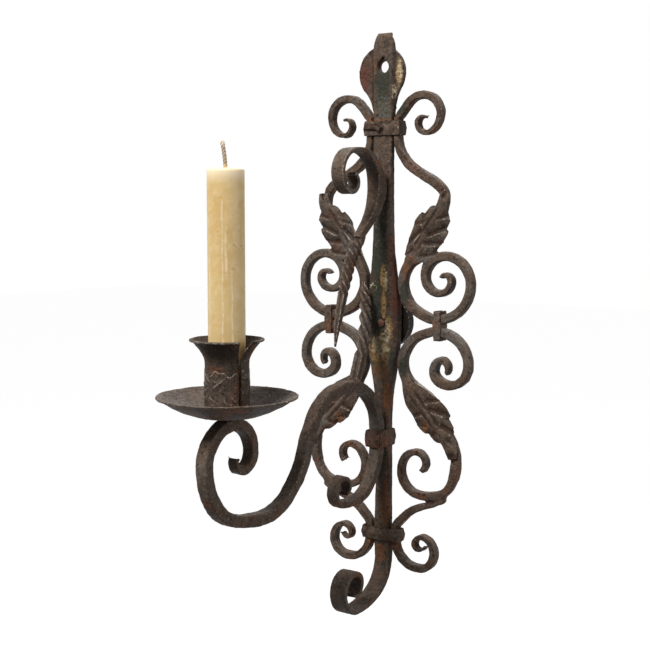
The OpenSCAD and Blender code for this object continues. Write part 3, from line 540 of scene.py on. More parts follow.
def closed_rivet(name, cad_node, turn, length_axis):
    """A rivet as long as its plain form, with a domed head over its shank."""
    middle, half = middle_of(cad_node)
    head_r = half.x
    half_l = half[length_axis]
    head_foot = half_l - DOME_RISE * head_r
    outline = [(0, -half_l), (RIVET_SHANK_R, -half_l), (RIVET_SHANK_R, head_foot), (head_r, head_foot)]
    for k in range(1, DOME_STEPS):
        turned_by = k * math.pi / (2 * DOME_STEPS)
        drop = DOME_RISE * head_r * (1 - math.sin(turned_by))
        outline.append((head_r * math.cos(turned_by), half_l - drop))
    outline.append((0, half_l))
    piece = evened(put(turned(name, outline, closed=False, steps=48), turn, middle), 0.0003)
    return hammered(piece, 0.0002, 0.0005, 0.0002, 3)


centre_rivet = closed_rivet("centre_rivet_closed", "centre_rivet", FORWARD, 1)
fitted(centre_rivet, rivet_rust, "rusted_iron", "centre_rivet")

# The upper sweeps: square bar drawn down and bent hot into the top curls on both sides of the neck.
# Their arrises are rubbed pale, partly as painted highlight, and their inner faces have rusted.
sweep_iron = forged_iron("sweep_iron", black=0.6, grey_sheen=0.5, rusty=0.45, wear_and_highlight=0.6, patches=[
    (RUST, (0.0, 0.0, -0.046), (0.022, 0.012, 0.01), 0.9, 0.44),
    (OLD_GREEN, (0.018, 0.0, -0.032), (0.008, 0.01, 0.012), 0.8, 0.0),
    (PINK_BROWN, (0.03, 0.0, -0.082), (0.012, 0.014, 0.01), 0.9, 0.48),
])
for side in ("right", "left"):
    sweep = drawn_out("upper_sweep_forging_" + side, "upper_sweep_" + side, skin=0.0005)
    fitted(hammered(sweep), sweep_iron, "forged_iron", "upper_sweep_" + side)

# The leaf scrolls: each leaf was spread flat from the end of its bar, lapped over the sweep and cut with
# a blunt chisel. The cuts leave a midrib between two furrows, and pillows with sharp creases between.
CLIP_HEIGHT = -0.211
# The midribs from neck to tip, in millimetres out from the bar and up from the clips
UPPER_MIDRIB = [(22.5, 46), (28.5, 55), (34, 62), (39, 70), (44, 77), (49.5, 84.5), (55, 92), (58.5, 100.5),
    (59.5, 108.5)]
LOWER_MIDRIB = [(21, -42), (27, -52), (33.5, -60.5), (40, -68), (47, -75.5), (54, -83), (61, -90.5),
    (66.5, -99.5), (69, -108.5)]
# Each furrow's place beside the midrib, its depth, and where it starts and ends along it
UPPER_FURROWS = [(-3.0, 1.5, 18, 64), (2.2, 0.8, 12, 62)]
LOWER_FURROWS = [(-3.0, 1.5, 14, 62), (3.0, 1.1, 14, 62)]
# Each chisel cut from the leaf's edge towards the midrib, and its depth
UPPER_CUTS = [((62, 89), (52, 86), 2.0), ((61, 79.5), (43, 72.5), 3.0), ((58, 67), (40, 66.5), 2.8),
    ((51, 58), (35, 56), 1.6), ((28, 81.5), (42, 85), 2.0), ((26, 67), (40, 78.5), 3.0),
    ((24, 57), (32, 63), 1.4)]
LOWER_CUTS = [((60, -60), (42, -63), 2.8), ((70, -73), (45, -69), 3.2), ((72, -86.5), (57, -81.5), 3.0),
    ((73, -98), (64, -92), 1.6), ((31, -77), (41, -72.5), 2.2), ((32, -83), (46, -85), 2.2),
    ((43, -95), (55, -87), 1.8)]
# A leaf's half width and its shares from neck to tip, how high it is crowned, and how far its tip lifts
LEAF_HALF_W = 17
LEAF_OUTLINE = [0.34, 0.78, 1, 0.96, 0.76, 0.54, 0.38, 0.3]
LEAF_CROWN = 1.5
LEAF_TIP_LIFT = 1.4
LEAF_FACE = -3.5
FURROW_HALF_W = 1.1
# How far a cut's steep side and its long side reach
CUT_STEEP = 1.1
CUT_LONG = 4.2
# The share of a cut that is held back at the rim
LEAF_RIM_KEPT = 0.55


def along(points, line):
    """How far each point lies along a line of points, and how far beside it."""
    best = np.full(len(points), 1e9)
    run = np.zeros(len(points))
    beside = np.zeros(len(points))
    start = 0.0
    for a, b in zip(np.array(line[:-1], float), np.array(line[1:], float)):
        length = np.linalg.norm(b - a)
        way = (b - a) / length
        rel = points - a
        share = np.clip(rel @ way, 0, length)
        off = np.linalg.norm(rel - share[:, None] * way, axis=1)
        nearer = off < best
        best = np.where(nearer, off, best)
        run = np.where(nearer, start + share, run)
        beside = np.where(nearer, np.sign(rel[:, 0] * way[1] - rel[:, 1] * way[0]) * off, beside)
        start += length
    return run, beside, start


def eased(values, low, high):
    """0 under low, 1 over high and a smooth step between."""
    share = np.clip((values - low) / (high - low), 0, 1)
    return share * share * (3 - 2 * share)


def reshaped(piece, place):
    """The piece with its points moved to new places."""
    piece.data.vertices.foreach_set("co", place.ravel())
    piece.data.update()
    return piece


def chased(piece, midrib, right_share, furrows, cuts):
    """Beats a leaf's front to an even crown and cuts its furrows and creases, which push its back out as
    far as they sink its front. The right share is of its width, to the right of the midrib as it runs."""
    place = points_of(piece.data)
    flat = np.stack([np.abs(place[:, 0]) * 1000, (place[:, 2] - CLIP_HEIGHT) * 1000], 1)
    run, beside, length = along(flat, midrib)
    half_w = 2 * LEAF_HALF_W * np.interp(run / length * 7, range(8), LEAF_OUTLINE)
    half_w *= np.where(beside > 0, right_share, 1 - right_share)
    out = abs(beside) / half_w
    on_leaf = eased(run, 3, 12) * (1 - eased(run, length - 7, length - 2)) * (1 - eased(out, 1.05, 1.2))
    facing = np.clip(-points_of(piece.data, "normal")[:, 1] * 2.5, 0, 1)
    crowned = LEAF_FACE - LEAF_TIP_LIFT * (run / length) ** 2
    crowned -= LEAF_CROWN * np.cos(np.clip(out, 0, 1) * math.pi / 2)
    even_share = on_leaf * facing * (1 - eased(out, 0.75, 0.95))
    place[:, 1] += even_share * (crowned / 1000 - place[:, 1])
    deep = np.zeros(len(flat))
    for offset, depth, start, stop in furrows:
        reach = eased(run, start, start + 10) * (1 - eased(run, stop - 10, stop))
        deep = np.maximum(deep, depth * reach / (1 + ((beside - offset) / FURROW_HALF_W) ** 2))
    for edge, inner, depth in cuts:
        low_end, high_end = np.array(edge, float), np.array(inner, float)
        cut_length = np.linalg.norm(high_end - low_end)
        way = (high_end - low_end) / cut_length
        share = (flat - low_end) @ way
        over_line = (flat[:, 0] - low_end[0]) * way[1] - (flat[:, 1] - low_end[1]) * way[0]
        over_line = over_line * (1 if way[0] < 0 else -1)
        fade = eased(share, -4, 1) * (1 - eased(share, cut_length - 3, cut_length + 1.5))
        slope = np.where(over_line > 0, np.exp(-over_line / CUT_LONG), np.exp(over_line / CUT_STEEP))
        fade *= 1 - LEAF_RIM_KEPT * eased(out, 0.75, 1.0)
        deep = np.maximum(deep, depth * fade * slope)
    place[:, 1] += deep * on_leaf * (0.75 + 0.25 * facing) / 1000
    return reshaped(piece, place)


upper_leaf_iron = forged_iron("upper_leaf_iron", black=0.6, grey_sheen=0.6, rusty=0.25, wear_and_highlight=0.6, patches=[
    (RUST, (0.03, -0.005, -0.168), (0.014, 0.014, 0.02), 0.9, 0.47),
    (OLD_GREEN, (0.022, -0.005, -0.186), (0.007, 0.008, 0.016), 0.6, 0.4),
])
lower_leaf_iron = forged_iron("lower_leaf_iron", black=0.5, grey_sheen=0.8, rusty=0.3, wear_and_highlight=0.7, patches=[
    (RUST, (0.043, -0.005, -0.296), (0.005, 0.008, 0.01), 0.9, 0.42),
    (RUST, (-0.043, -0.005, -0.296), (0.005, 0.008, 0.01), 0.9, 0.42),
    (OLD_GREEN, (0.022, -0.005, -0.246), (0.007, 0.008, 0.012), 0.6, 0.4),
])
for side in ("right", "left"):
    for level, midrib, right_share, furrows, cuts, iron in (
        ("upper", UPPER_MIDRIB, 0.54, UPPER_FURROWS, UPPER_CUTS, upper_leaf_iron),
        ("lower", LOWER_MIDRIB, 0.44, LOWER_FURROWS, LOWER_CUTS, lower_leaf_iron),
    ):
        cad = f"{level}_leaf_scroll_{side}"
        blank = drawn_out(f"{level}_leaf_forging_{side}", cad, skin=0.00055)
        leaf = hammered(chased(blank, midrib, right_share, furrows, cuts), 0.0006, 0.0004, 0.00015, 10)
        fitted(leaf, iron, "forged_iron", cad)

# The lower sweeps and tails: one bar runs from under the leaf's tip down to the bottom collar, with the
# small inner scroll fire-welded to it. The weld makes both one piece, and it has rusted brown.
tail_iron = forged_iron("tail_iron", black=0.6, grey_sheen=0.45, rusty=0.6, wear_and_highlight=0.55, patches=[
    (RUST, (0.0, 0.0, -0.4), (0.03, 0.012, 0.012), 0.9, 0.46),
])
# The tail is cut off this far from the middle, inside the sweep that it is welded to
TAIL_CUT = 0.061
# The middle of the weld in millimetres out from the bar and up from the hole, and its reach
WELD = (64.0, -350.0)
WELD_REACH = 15.0


def welded(piece, near, rounds):
    """Draws the piece's points that lie near a weld down to one smooth form, in as many rounds."""
    weld = piece.vertex_groups.new(name="weld")
    weld.add(np.flatnonzero(near).tolist(), 1.0, "REPLACE")
    drawn_down = piece.modifiers.new("drawn_down", "SMOOTH")
    drawn_down.vertex_group = "weld"
    drawn_down.iterations = rounds
    drawn_down.factor = 0.5
    return piece


for side in ("right", "left"):
    cads = ["tail_scroll_" + side, "lower_sweep_" + side]
    tail = drawn_out("lower_scroll_forging_" + side, *cads, skin=0.0005, cut_off=TAIL_CUT)
    tail_points = points_of(tail.data) * 1000
    weld_far = np.hypot(np.abs(tail_points[:, 0]) - WELD[0], tail_points[:, 2] - WELD[1])
    welded(tail, weld_far < WELD_REACH, 110)
    fitted(hammered(tail), tail_iron, "forged_iron", "lower_sweep_" + side, "tail_scroll_" + side)

# The scroll clips: short strips wrapped hot round the two rings of each side. Their outer faces are
# grey with painted sheen and with rubbed arrises that are partly painted highlight, and the faces next
# to the bar have rusted.
SLATE = (0.085, 0.095, 0.098)
clip_iron = forged_iron("clip_iron", black=0.5, grey_sheen=0.7, rusty=0.55, wear_and_highlight=0.7, patches=[
    (SLATE, (0.041, -0.003, -0.211), (0.006, 0.01, 0.012), 0.6, 0.36),
    (RUST, (0.05, 0.0, -0.211), (0.005, 0.012, 0.01), 0.7, 0.38),
    (RUST, (-0.048, 0.0, -0.211), (0.005, 0.012, 0.01), 0.7, 0.38),
])
# The strip's wall, how far its faces lie inside its plain form's box, and the bend that makes a rim
STRIP_WALL = 0.0034
STRIP_INSET = 0.0006
RIM_BEND = 35
FINE_SKIN = 0.00042
# How far a pointed end stands over the strip's face and how far it reaches in, in millimetres
TONGUE_OVER = 0.5
TONGUE_UNDER = 1.5


def wrapped_strip(name, cad_node, crown, ease, tongue=()):
    """A strip wrapped round its bundle to the size of its plain form, with its middle crowned, its edges
    eased and, where it has one, its pointed end lapped over the front."""
    middle, half = middle_of(cad_node)
    half = half - Vector((STRIP_INSET, STRIP_INSET, 0))
    bm = bmesh.new()
    bmesh.ops.create_cube(bm, size=2, matrix=Matrix.Translation(middle) @ Matrix.Diagonal((*half, 1)))
    ends = [face for face in bm.faces if abs(face.normal.z) > 0.5]
    bmesh.ops.inset_individual(bm, faces=ends, thickness=STRIP_WALL + crown)
    bmesh.ops.delete(bm, geom=ends, context="FACES_ONLY")
    bmesh.ops.bridge_loops(bm, edges=[edge for edge in bm.edges if edge.is_boundary])
    bmesh.ops.bisect_plane(bm, geom=bm.verts[:] + bm.edges[:] + bm.faces[:], plane_co=middle,
        plane_no=(0, 0, 1))
    for vert in bm.verts:
        off = vert.co - middle
        outer = abs(off.x) > half.x - STRIP_WALL / 2 or abs(off.y) > half.y - STRIP_WALL / 2
        if outer and abs(off.z) > half.z / 2:
            vert.co.x -= math.copysign(crown, off.x)
            vert.co.y -= math.copysign(crown, off.y)
    rims = [edge for edge in bm.edges if edge.calc_face_angle(0) > math.radians(RIM_BEND)]
    bmesh.ops.bevel(bm, geom=rims, offset=ease, offset_type="OFFSET", segments=3, profile=0.5,
        affect="EDGES", clamp_overlap=True, material=-1)
    if tongue:
        outline = [(middle.x * 1000 + x, middle.z * 1000 + z) for x, z in tongue]
        strip_face = (middle.y - half.y) * 1000
        plate(bm, outline, strip_face - TONGUE_OVER, strip_face + TONGUE_UNDER)
    bmesh.ops.recalc_face_normals(bm, faces=bm.faces)
    return evened(made_of(bm, name), FINE_SKIN)


for side in ("right", "left"):
    clip = wrapped_strip("scroll_clip_wrapped_" + side, "scroll_clip_" + side, 0.0008, 0.0015)
    fitted(hammered(clip, 0.0004, 0.0006, 0.0002, 12), clip_iron, "rusted_iron", "scroll_clip_" + side)

# The collars: wider strips wrapped hot round the bar and its scrolls and closed with heavy blows, so
# that their faces are crowned and uneven. The end of the top one is a point lapped over its front.
RUSTED_BROWN = (0.125, 0.066, 0.045)
# The point at the end of the top collar, through X and Z in millimetres from its middle
TOP_TONGUE = [(-17, 1.6), (-7, 3.2), (-3.5, 4.6), (1.5, 0.6), (-1.5, -4.2), (-6, -1.5), (-17, -0.6)]
for cad, ground, black, grey_sheen, rusty, wear_and_highlight, tongue in (
    ("top_collar", IRON_BROWN, 0.55, 0.7, 0.3, 0.9, TOP_TONGUE),
    ("arm_collar", RUSTED_BROWN, 0.65, 0.15, 0.7, 0.55, ()),
    ("bottom_collar", IRON_BROWN, 0.75, 0.3, 0.45, 0.7, ()),
):
    collar_iron = forged_iron(cad + "_iron", ground, black, grey_sheen, rusty, wear_and_highlight)
    collar = wrapped_strip(cad + "_wrapped", cad, 0.0015, 0.0014, tongue)
    fitted(hammered(collar, 0.0008, 0.0011, 0.0002, 12), collar_iron, "rusted_iron", cad)

# The arm: a heavy bar that springs from the bar's front in a high arch, sweeps down and out under the
# pan and ends in a small roll. It has sharp arrises, a brown side darkened by painted shade and a paler,
# worn front, with its rubbed arrises partly painted highlight.
arm_iron = forged_iron("arm_iron", black=0.6, grey_sheen=0.45, rusty=0.35, wear_and_highlight=0.7)
arm = hammered(drawn_out("arm_forging", "arm", skin=0.00062), waves=0.001, blows=0.0006)
fitted(arm, arm_iron, "forged_iron", "arm")

# The tendrils: the upper one is a flat curl set on the front of the bar, which narrows to a twisted
# square bar and a long point. The lower one is a short twisted bar, which runs from the top of the
# arm's arch to a point beside the swelling.
tendril_iron = forged_iron("tendril_iron", black=0.5, grey_sheen=0.75, rusty=0.25, wear_and_highlight=0.65, patches=[
    (OLD_RED, (-0.034, -0.012, -0.139), (0.003, 0.006, 0.005), 0.9, 0.0),
])
SQUARE_SIDES = 24
# How far out the worn corners reach and how far in the sides are hollowed, as shares of the half width
SQUARE_WORN = 1.3
SQUARE_HOLLOW = 0.17
TWIST_STEPS = 14
# How far from the start of the twist the curl is drawn down to meet it
JOINT_REACH = 0.0085
# The twisted stretches through X, Y and Z in millimetres, with the width of the bar at each point
UPPER_TWIST = [(0, -33, -137.5, 9.2), (0, -37, -142.2, 9.8), (0, -43, -149, 9.0), (0, -49, -158, 8.6),
    (0, -54, -170, 8.2), (0, -59, -183, 7.4), (0, -63, -196, 6.4), (0, -67, -210, 4.8),
    (0, -70, -225.5, 1.8)]
# How thick the upper one is for its width, at shares of its length: it is flat only at the curl
UPPER_THICK = [(0, 0.55), (0.12, 0.75), (0.24, 1), (1, 1)]
LOWER_TWIST = [(2, -46, -258, 8.8), (0, -34.5, -237, 8.8), (-3.5, -24, -222, 8.8), (-7.5, -16, -205, 8.8),
    (-11.5, -10, -190, 8.2), (-15, -7, -177, 3.0)]


def route(points, steps):
    """A smooth line of places through points, with steps to each stretch."""
    rows = np.array(points, float)
    ends = np.vstack([2 * rows[0] - rows[1], rows, 2 * rows[-1] - rows[-2]])
    line = []
    for k in range(len(rows) - 1):
        a, b, c, d = ends[k:k + 4]
        for t in np.arange(steps) / steps:
            line.append(0.5 * (2 * b + (c - a) * t + (2 * a - 5 * b + 4 * c - d) * t ** 2
                + (3 * b - a - 3 * c + d) * t ** 3))
    return line + [rows[-1]]


def strand(bm, places, radii, sides, turns=None, thick=None, square=False):
    """A strand drawn from a disc through places, with a radius, a turn and a share of thickness at each.
    A square one has worn corners and sides hollowed by the twisting."""
    made = bmesh.ops.create_circle(bm, cap_ends=True, segments=sides, radius=1.0)
    face = made["verts"][0].link_faces[0]
    if square:
        for vert in made["verts"]:
            turn = math.atan2(vert.co.y, vert.co.x)
            corner = min(SQUARE_WORN, 1 / max(abs(math.cos(turn)), abs(math.sin(turn))))
            vert.co *= corner * (1 - SQUARE_HOLLOW * math.cos(2 * turn) ** 2)
    past = Matrix.Identity(4)
    for k, (place, radius) in enumerate(zip(places, radii)):
        before, after = places[max(k - 1, 0)], places[min(k + 1, len(places) - 1)]
        lean = Vector((0, 0, 1)).rotation_difference(after - before).to_matrix().to_4x4()
        turn = Matrix.Rotation(turns[k] if turns else 0, 4, "Z")
        flat = thick[k] if thick else 1
        now = Matrix.Translation(place) @ lean @ turn @ Matrix.Diagonal((radius, radius * flat, radius, 1))
        if k:
            grown = bmesh.ops.extrude_face_region(bm, geom=[face])["geom"]
            bmesh.ops.delete(bm, geom=[face], context="FACES_ONLY")
            face = next(part for part in grown if isinstance(part, bmesh.types.BMFace))
        else:
            foot = bmesh.ops.duplicate(bm, geom=[face])["geom"]
            foot_verts = [part for part in foot if isinstance(part, bmesh.types.BMVert)]
            bmesh.ops.transform(bm, matrix=now, verts=foot_verts)
        bmesh.ops.transform(bm, matrix=now @ past.inverted(), verts=face.verts)
        past = now


def twisted(bm, points, full_turn, starts, stops, thickness=((0, 1), (1, 1))):
    """Adds a bar twisted between two shares of its length, with its thickness for its width at shares."""
    line = route(points, TWIST_STEPS)
    places = [Vector(row[:3]) / 1000 for row in line]
    last = len(line) - 1
    turns = [-full_turn * min(1, max(0, (k / last - starts) / (stops - starts))) for k in range(last + 1)]
    thick = np.interp(np.arange(last + 1) / last, *zip(*thickness)).tolist()
    strand(bm, places, [row[3] / 2000 for row in line], SQUARE_SIDES, turns, thick, square=True)


curl = drawn_out("upper_curl_forging", "upper_tendril", skin=0.00045, rounding=1)
bm = bmesh.new()
bm.from_mesh(curl.data)
bpy.data.objects.remove(curl)
twist_start = Vector(UPPER_TWIST[1][:3]) / 1000
cut_away(bm, twist_start, Vector(UPPER_TWIST[2][:3]) - Vector(UPPER_TWIST[1][:3]))
twisted(bm, UPPER_TWIST, math.radians(720), 0.14, 0.64, UPPER_THICK)
upper = evened(closed_up(bm, "upper_tendril_forging", 0.000001), FINE_SKIN)
joint_far = np.linalg.norm(points_of(upper.data) - np.array(twist_start), axis=1)
welded(upper, joint_far < JOINT_REACH, 70)
bm = bmesh.new()
twisted(bm, LOWER_TWIST, math.radians(540), 0.2, 0.95)
cut_away(bm, Vector((0, 0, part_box("lower_tendril")[0].z)), (0, 0, -1))
lower = evened(closed_up(bm, "lower_tendril_forging", 0.000001), FINE_SKIN)
for tendril, cad in ((upper, "upper_tendril"), (lower, "lower_tendril")):
    fitted(hammered(tendril, 0.0003, 0.0002, 0.00015, 1), tendril_iron, "forged_iron", cad)

# The drip pan: a round dish raised from sheet with a planishing hammer, with its edge rolled over a
# wire. Smoke and wax have left it brown inside, and painted shade darkens its underside almost to black.
# The pan's flat seat, its edge, its depth, its wall and its rolled bead
PAN_SEAT_R = 0.0175
PAN_EDGE_R = 0.05
PAN_DEPTH = 0.015
PAN_WALL = 0.0022
PAN_BEAD = 0.0015
PAN_BORE = 0.00315
PAN_CURVE = 1.6
# How far the pan's inside lies nearer to the middle than its underside
PAN_INSET = 0.0006
PAN_STEPS = 28
PAN_BROWN = (0.128, 0.094, 0.072)
pan_low, pan_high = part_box("drip_pan")
pan_middle = Vector(((pan_low.x + pan_high.x) / 2, (pan_low.y + pan_high.y) / 2, pan_low.z))
pan_reach = (pan_high.x - pan_low.x) / 2 - PAN_SEAT_R


def pan_rise(r):
    """How high the pan's underside lies at a radius."""
    return PAN_DEPTH * (max(0, r - PAN_SEAT_R) / pan_reach) ** PAN_CURVE


pan_radii = [PAN_SEAT_R + (PAN_EDGE_R - PAN_SEAT_R) * k / PAN_STEPS for k in range(PAN_STEPS)]
pan_bead_z = pan_rise(PAN_EDGE_R) + PAN_WALL - PAN_BEAD
pan_outline = (
    [(PAN_BORE, PAN_WALL), (PAN_BORE, 0)]
    + [(r, pan_rise(r)) for r in pan_radii]
    + arc(PAN_EDGE_R, pan_bead_z, PAN_BEAD, -100, 150, 12)
    + [(r - PAN_INSET, pan_rise(r) + PAN_WALL) for r in reversed(pan_radii)]
)
pan_iron = forged_iron("pan_iron", PAN_BROWN, black=0.4, grey_sheen=0.5, rusty=0.25, wear_and_highlight=0.5)
pan = put(turned("drip_pan_raised", pan_outline, steps=144), Matrix.Identity(4), pan_middle)
pan = hammered(evened(pan, 0.00065), 0.0004, 0.0006, 0.0002, 1)
fitted(pan, pan_iron, "sheet_iron", "drip_pan")

# The candle cup: sheet rolled round into a tube that doesn't quite meet, with its mouth flared and its
# edge thickened. A second, torn layer is beaten round its lower half in ragged ridges.
CUP_BROWN = (0.092, 0.062, 0.045)
# The wall's radius, the torn layer's height and depth, and the flare's start and reach, in millimetres
CUP_WALL_R = 17.5
CUP_BAND_TOP = 31.0
CUP_BAND_DEPTH = 1.8
FLARE_START = 36.0
FLARE_REACH = 9.8
FLARE_CURVE = 2.2
CUP_FOLDS = 60
# The thick edge of the mouth, which stops on both sides of the slit, with its angles in degrees
RIM_R = 0.0259
RIM_HEIGHT = 0.0531
RIM_BEAD = 0.0013
SLIT_TURN = 73
SLIT_MOUTH = 13.5
cup_low, cup_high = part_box("candle_cup")
cup_axis = np.array([(cup_low.x + cup_high.x) / 2, (cup_low.y + cup_high.y) / 2])
cup_foot = Vector((*cup_axis, cup_low.z))
cup_iron = forged_iron("cup_iron", CUP_BROWN, black=0.6, grey_sheen=0.3, rusty=0.3, wear_and_highlight=0.5)
cup = drawn_out("candle_cup_rolled", "candle_cup", skin=0.0005, rounding=0)
bm = bmesh.new()
bm.from_mesh(cup.data)
rim_start = Matrix.Rotation(math.radians(SLIT_TURN - 90 + SLIT_MOUTH), 4, "Z")
across_rim = Matrix.Translation((RIM_R, 0, RIM_HEIGHT)) @ Matrix.Rotation(math.radians(90), 4, "X")
ring = bmesh.ops.create_circle(bm, segments=16, radius=RIM_BEAD, cap_ends=True,
    matrix=Matrix.Translation(cup_foot) @ rim_start @ across_rim)
rim_face = ring["verts"][0].link_faces[0]
bmesh.ops.spin(bm, geom=[rim_face], cent=cup_foot, axis=(0, 0, 1), steps=120,
    angle=math.tau - 2 * math.radians(SLIT_MOUTH))
bmesh.ops.recalc_face_normals(bm, faces=bm.faces)
bm.to_mesh(cup.data)
bm.free()
cup = evened(cup, 0.0005)
cup_points = points_of(cup.data)
cup_off = (cup_points[:, :2] - cup_axis) * 1000
cup_far = np.hypot(cup_off[:, 0], cup_off[:, 1])
cup_height = (cup_points[:, 2] - cup_low.z) * 1000
cup_round = np.arctan2(cup_off[:, 0], -cup_off[:, 1]) * CUP_WALL_R
ledge = CUP_BAND_TOP + 1.6 * np.sin(cup_round / 3.1) + 0.8 * np.sin(cup_round / 1.3)
layer = (1 - eased(cup_height, ledge - 0.5, ledge + 0.5)) * eased(cup_height, 1.5, 3.5)
rng = np.random.default_rng(11)
folds = np.zeros(len(cup_points))
for _ in range(CUP_FOLDS):
    at = (rng.uniform(-math.pi, math.pi) * CUP_WALL_R, rng.uniform(5, CUP_BAND_TOP - 3))
    lean = rng.uniform(-1.1, 1.3)
    length, width, rise = rng.uniform(3, 8), rng.uniform(0.7, 1.6), rng.uniform(0.5, 1.0)
    across, up = cup_round - at[0], cup_height - at[1]
    line = across * math.cos(lean) + up * math.sin(lean)
    off = up * math.cos(lean) - across * math.sin(lean)
    shape = np.where(off > 0, np.exp(-(off / width) ** 2), np.exp(off / (2.2 * width)))
    folds = np.maximum(folds, rise * shape * np.exp(-(line / length) ** 2))
flare_share = np.maximum(0, cup_height - FLARE_START) / (cup_high.z * 1000 - cup_low.z * 1000 - FLARE_START)
skin_r = CUP_WALL_R + FLARE_REACH * flare_share ** FLARE_CURVE
under_flare = 1 - eased(cup_height, FLARE_START - 3, FLARE_START + 14)
outside = eased(cup_far, skin_r - 1.2, skin_r - 0.4) * under_flare
sunk = CUP_BAND_DEPTH * (1 - layer * (0.45 + 0.55 * folds)) * outside * eased(cup_height, 0.5, 2.0)
cup_points[:, :2] -= cup_off / np.maximum(cup_far, 1)[:, None] * sunk[:, None] / 1000
reshaped(cup, cup_points)
fitted(hammered(cup, 0.0003, 0.0003, 0.00015, 2), cup_iron, "sheet_iron", "candle_cup")

# The cup rivet: one rivet with a flat dome holds the cup and the pan on the arm. It is hidden under
# the candle.
cup_rivet = closed_rivet("cup_rivet_closed", "cup_rivet", Matrix.Identity(4), 2)
fitted(cup_rivet, rivet_rust, "rusted_iron", "cup_rivet")

# The candle: pale beeswax rolled and dipped by hand, so that its side shows runs and small pits, and
# its top edge has softened.
WAX = (0.68, 0.49, 0.215)
WAX_PALE = (0.86, 0.73, 0.49)
WAX_DEEP = (0.55, 0.31, 0.1)
WAX_CLOUD = (0.62, 0.41, 0.155)
WAX_MILKY = (0.76, 0.6, 0.34)
WAX_RUN = (0.88, 0.76, 0.55)
candle_low, candle_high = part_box("candle")
candle_middle = (candle_low + candle_high) / 2
candle_r = (candle_high.x - candle_low.x) / 2
candle_l = candle_high.z - candle_low.z
TOP_EASE = 0.0022
FOOT_EASE = 0.0006
RUN_HEIGHT = 0.0003
SIDE_STEPS = 90
side_heights = [candle_l * k / SIDE_STEPS for k in range(SIDE_STEPS - 2)]
candle_outline = (
    [(0, 0.0), (candle_r - RUN_HEIGHT - FOOT_EASE, 0.0)]
    + [(candle_r - RUN_HEIGHT, max(z, FOOT_EASE)) for z in side_heights]
    + arc(candle_r - RUN_HEIGHT - TOP_EASE, candle_l - TOP_EASE, TOP_EASE, 0, 90, 6)
    + [(0.6 * candle_r, candle_l - 0.0003), (0.25 * candle_r, candle_l - 0.0008), (0, candle_l - 0.0009)]
)
candle = turned("candle_rolled", candle_outline, closed=False, steps=160)
put(candle, Matrix.Identity(4), Vector((candle_middle.x, candle_middle.y, candle_low.z)))
wax_points = points_of(candle.data)
wax_off = wax_points[:, :2] - np.array(candle_middle[:2])
wax_round = np.arctan2(wax_off[:, 0], -wax_off[:, 1])
wax_height = (wax_points[:, 2] - candle_low.z) / candle_l
swell = np.zeros(len(wax_points))
# Each run's place round the candle in degrees from its front, its width, and where it starts and ends
for place_round, width, start, stop in ((58, 2.2, 0.0, 0.62), (29, 2.0, 0.0, 0.93), (40, 3.5, 0.55, 0.8),
        (-20, 3.0, 0.0, 0.7), (110, 2.5, 0.1, 0.85), (170, 3.0, 0.0, 0.75), (-90, 3.0, 0.2, 0.9)):
    wander = math.radians(1.2) * np.sin(40 * wax_height + place_round)
    off = (wax_round - math.radians(place_round) - wander + math.pi) % math.tau - math.pi
    fade = eased(wax_height, start - 0.01, start + 0.04) * (1 - eased(wax_height, stop - 0.1, stop))
    swell = np.maximum(swell, fade * np.exp(-(off / math.radians(width)) ** 2))
on_side = np.hypot(wax_off[:, 0], wax_off[:, 1]) > candle_r - 0.001
outward = np.stack([np.sin(wax_round), -np.cos(wax_round), np.zeros(len(wax_points))], 1)
wax_points += outward * (swell * on_side * RUN_HEIGHT)[:, None]
reshaped(candle, wax_points)
marked(candle.data, "run", swell * on_side)


def height_on(tree):
    """The height of each place on the piece."""
    return node(tree, "SeparateXYZ", {0: node(tree, "TexCoord").outputs["Object"]}).outputs["Z"]


wax, tree = new_finish("beeswax")
wax_cloud = noise_of(tree, 0.016, 4, 0.6, 2.0)
colour = over(tree, band(tree, wax_cloud, 0.35, 0.7), WAX, WAX_CLOUD)
milky_share = band(tree, noise_of(tree, 0.006, 5, 0.6, 6.0), 0.42, 0.68, 0.0, 0.5)
colour = over(tree, milky_share, colour, WAX_MILKY)
pits = band(tree, noise_of(tree, 0.0034, 2, 0.5, 8.0), 0.31, 0.27)
colour = over(tree, pits, colour, WAX_DEEP)
near_top = joined(tree, height_on(tree), times(tree, wax_cloud, 0.006))
top_share = band(tree, near_top, candle_high.z - 0.01, candle_high.z + 0.002)
colour = over(tree, top_share, colour, WAX_PALE)
run = node(tree, "Attribute", attribute_name="run").outputs["Fac"]
thin = band(tree, noise_of(tree, 0.004, 3, 0.6, 4.0), 0.38, 0.6, 0.15, 0.8)
colour = over(tree, times(tree, run, thin), colour, WAX_RUN)
wax_rough = band(tree, noise_of(tree, 0.01, 5, 0.6, 5.0), 0.3, 0.7, 0.34, 0.52)
wax_height_map = joined(tree, noise_of(tree, 0.006, 4, 0.55, 3.0), times(tree, pits, -1.5))
wax_bump = node(tree, "Bump", {"Height": wax_height_map, "Strength": 0.35, "Distance": 0.0005})
give(tree, tree.nodes["Principled BSDF"], {"Base Color": colour, "Roughness": wax_rough,
    "Normal": wax_bump.outputs[0], "Subsurface Weight": 0.35, "Subsurface Scale": 0.006,
    "Subsurface Radius": (1.0, 0.55, 0.22)})
fitted(candle, wax, "wax", "candle", body="candle")

# The wick: three plies of cotton laid up to the right. It leans over at its end, where the plies have
# spread into a pale tuft.
# The plies and their radius, the radius and the length of their lay, and the rings along each
PLIES = 3
PLY_R = 0.0008
LAY_R = 0.00072
LAY_LENGTH = 0.0072
WICK_RINGS = 64
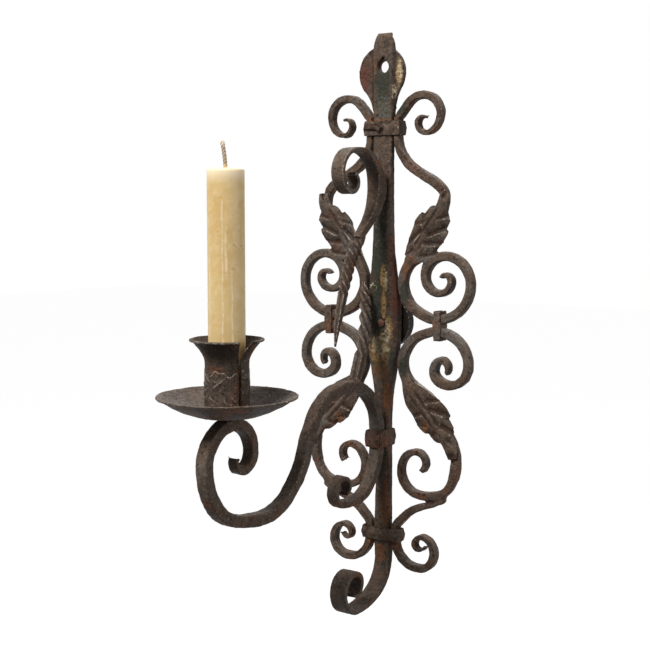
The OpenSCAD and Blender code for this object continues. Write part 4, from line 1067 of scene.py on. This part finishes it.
# How deep the wick starts in the wax, how far under its top the plies end, and how far it leans
WICK_SUNK = 0.004
TUFT_OVER = 0.0016
WICK_LEAN = -0.0028
TUFT_STRANDS = 26
TUFT_R = 0.0021
TUFT_RADII = [0.00026, 0.0003, 0.00028, 0.00022, 0.00008]
COTTON_BROWN = (0.27, 0.19, 0.12)
COTTON = (0.52, 0.41, 0.29)
COTTON_PALE = (0.8, 0.7, 0.55)
COTTON_WAXED = (0.72, 0.52, 0.3)
wick_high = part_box("wick")[1]
wick_foot = Vector((candle_middle.x, candle_middle.y, candle_low.z + candle_l - WICK_SUNK))
wick_rise = wick_high.z - TUFT_OVER - wick_foot.z


def wick_place(share):
    """Where the middle of the wick lies at a share of its height."""
    return wick_foot + Vector((WICK_LEAN * share ** 2, 0, wick_rise * share))


bm = bmesh.new()
for ply in range(PLIES):
    places = []
    for k in range(WICK_RINGS + 1):
        share = k / WICK_RINGS
        turn = math.tau * (ply / PLIES + share * wick_rise / LAY_LENGTH)
        spread = LAY_R * (1 + 0.5 * max(0, share - 0.9) / 0.1)
        places.append(wick_place(share) + Vector((spread * math.cos(turn), spread * math.sin(turn), 0)))
    strand(bm, places, [PLY_R] * len(places), 10)
rng = np.random.default_rng(5)
for k in range(TUFT_STRANDS):
    turn = 2.4 * k
    out = TUFT_R * math.sqrt((k + 0.5) / TUFT_STRANDS)
    way = Vector((math.cos(turn), math.sin(turn), 0))
    rise = 0.002 + 0.0012 * float(rng.random())
    foot = wick_place(0.93) + way * out * 0.45
    places = []
    for share in (0, 0.25, 0.5, 0.75, 1):
        lift = Vector((-0.0003 * share, 0, rise * share))
        places.append(foot + way * out * 0.75 * share * share + lift)
    strand(bm, places, TUFT_RADII, 6)
wick = closed_up(bm, "wick_plaited", 0.0000005)
cotton, tree = new_finish("cotton_wick")
height = height_on(tree)
yarn = noise_of(tree, 0.0007, 4, 0.7, 1.0)
colour = over(tree, band(tree, yarn, 0.35, 0.65), COTTON_BROWN, COTTON)
tuft_share = band(tree, height, wick_high.z - 0.0052, wick_high.z - 0.0022)
colour = over(tree, tuft_share, colour, COTTON_PALE)
waxed_share = band(tree, height, candle_high.z + 0.0035, candle_high.z)
colour = over(tree, waxed_share, colour, COTTON_WAXED)
fibre_bump = node(tree, "Bump", {"Height": yarn, "Strength": 0.6, "Distance": 0.0002})
give(tree, tree.nodes["Principled BSDF"], {"Base Color": colour, "Roughness": 0.85,
    "Normal": fibre_bump.outputs[0]})
fitted(wick, cotton, "cotton", "wick", body="candle")
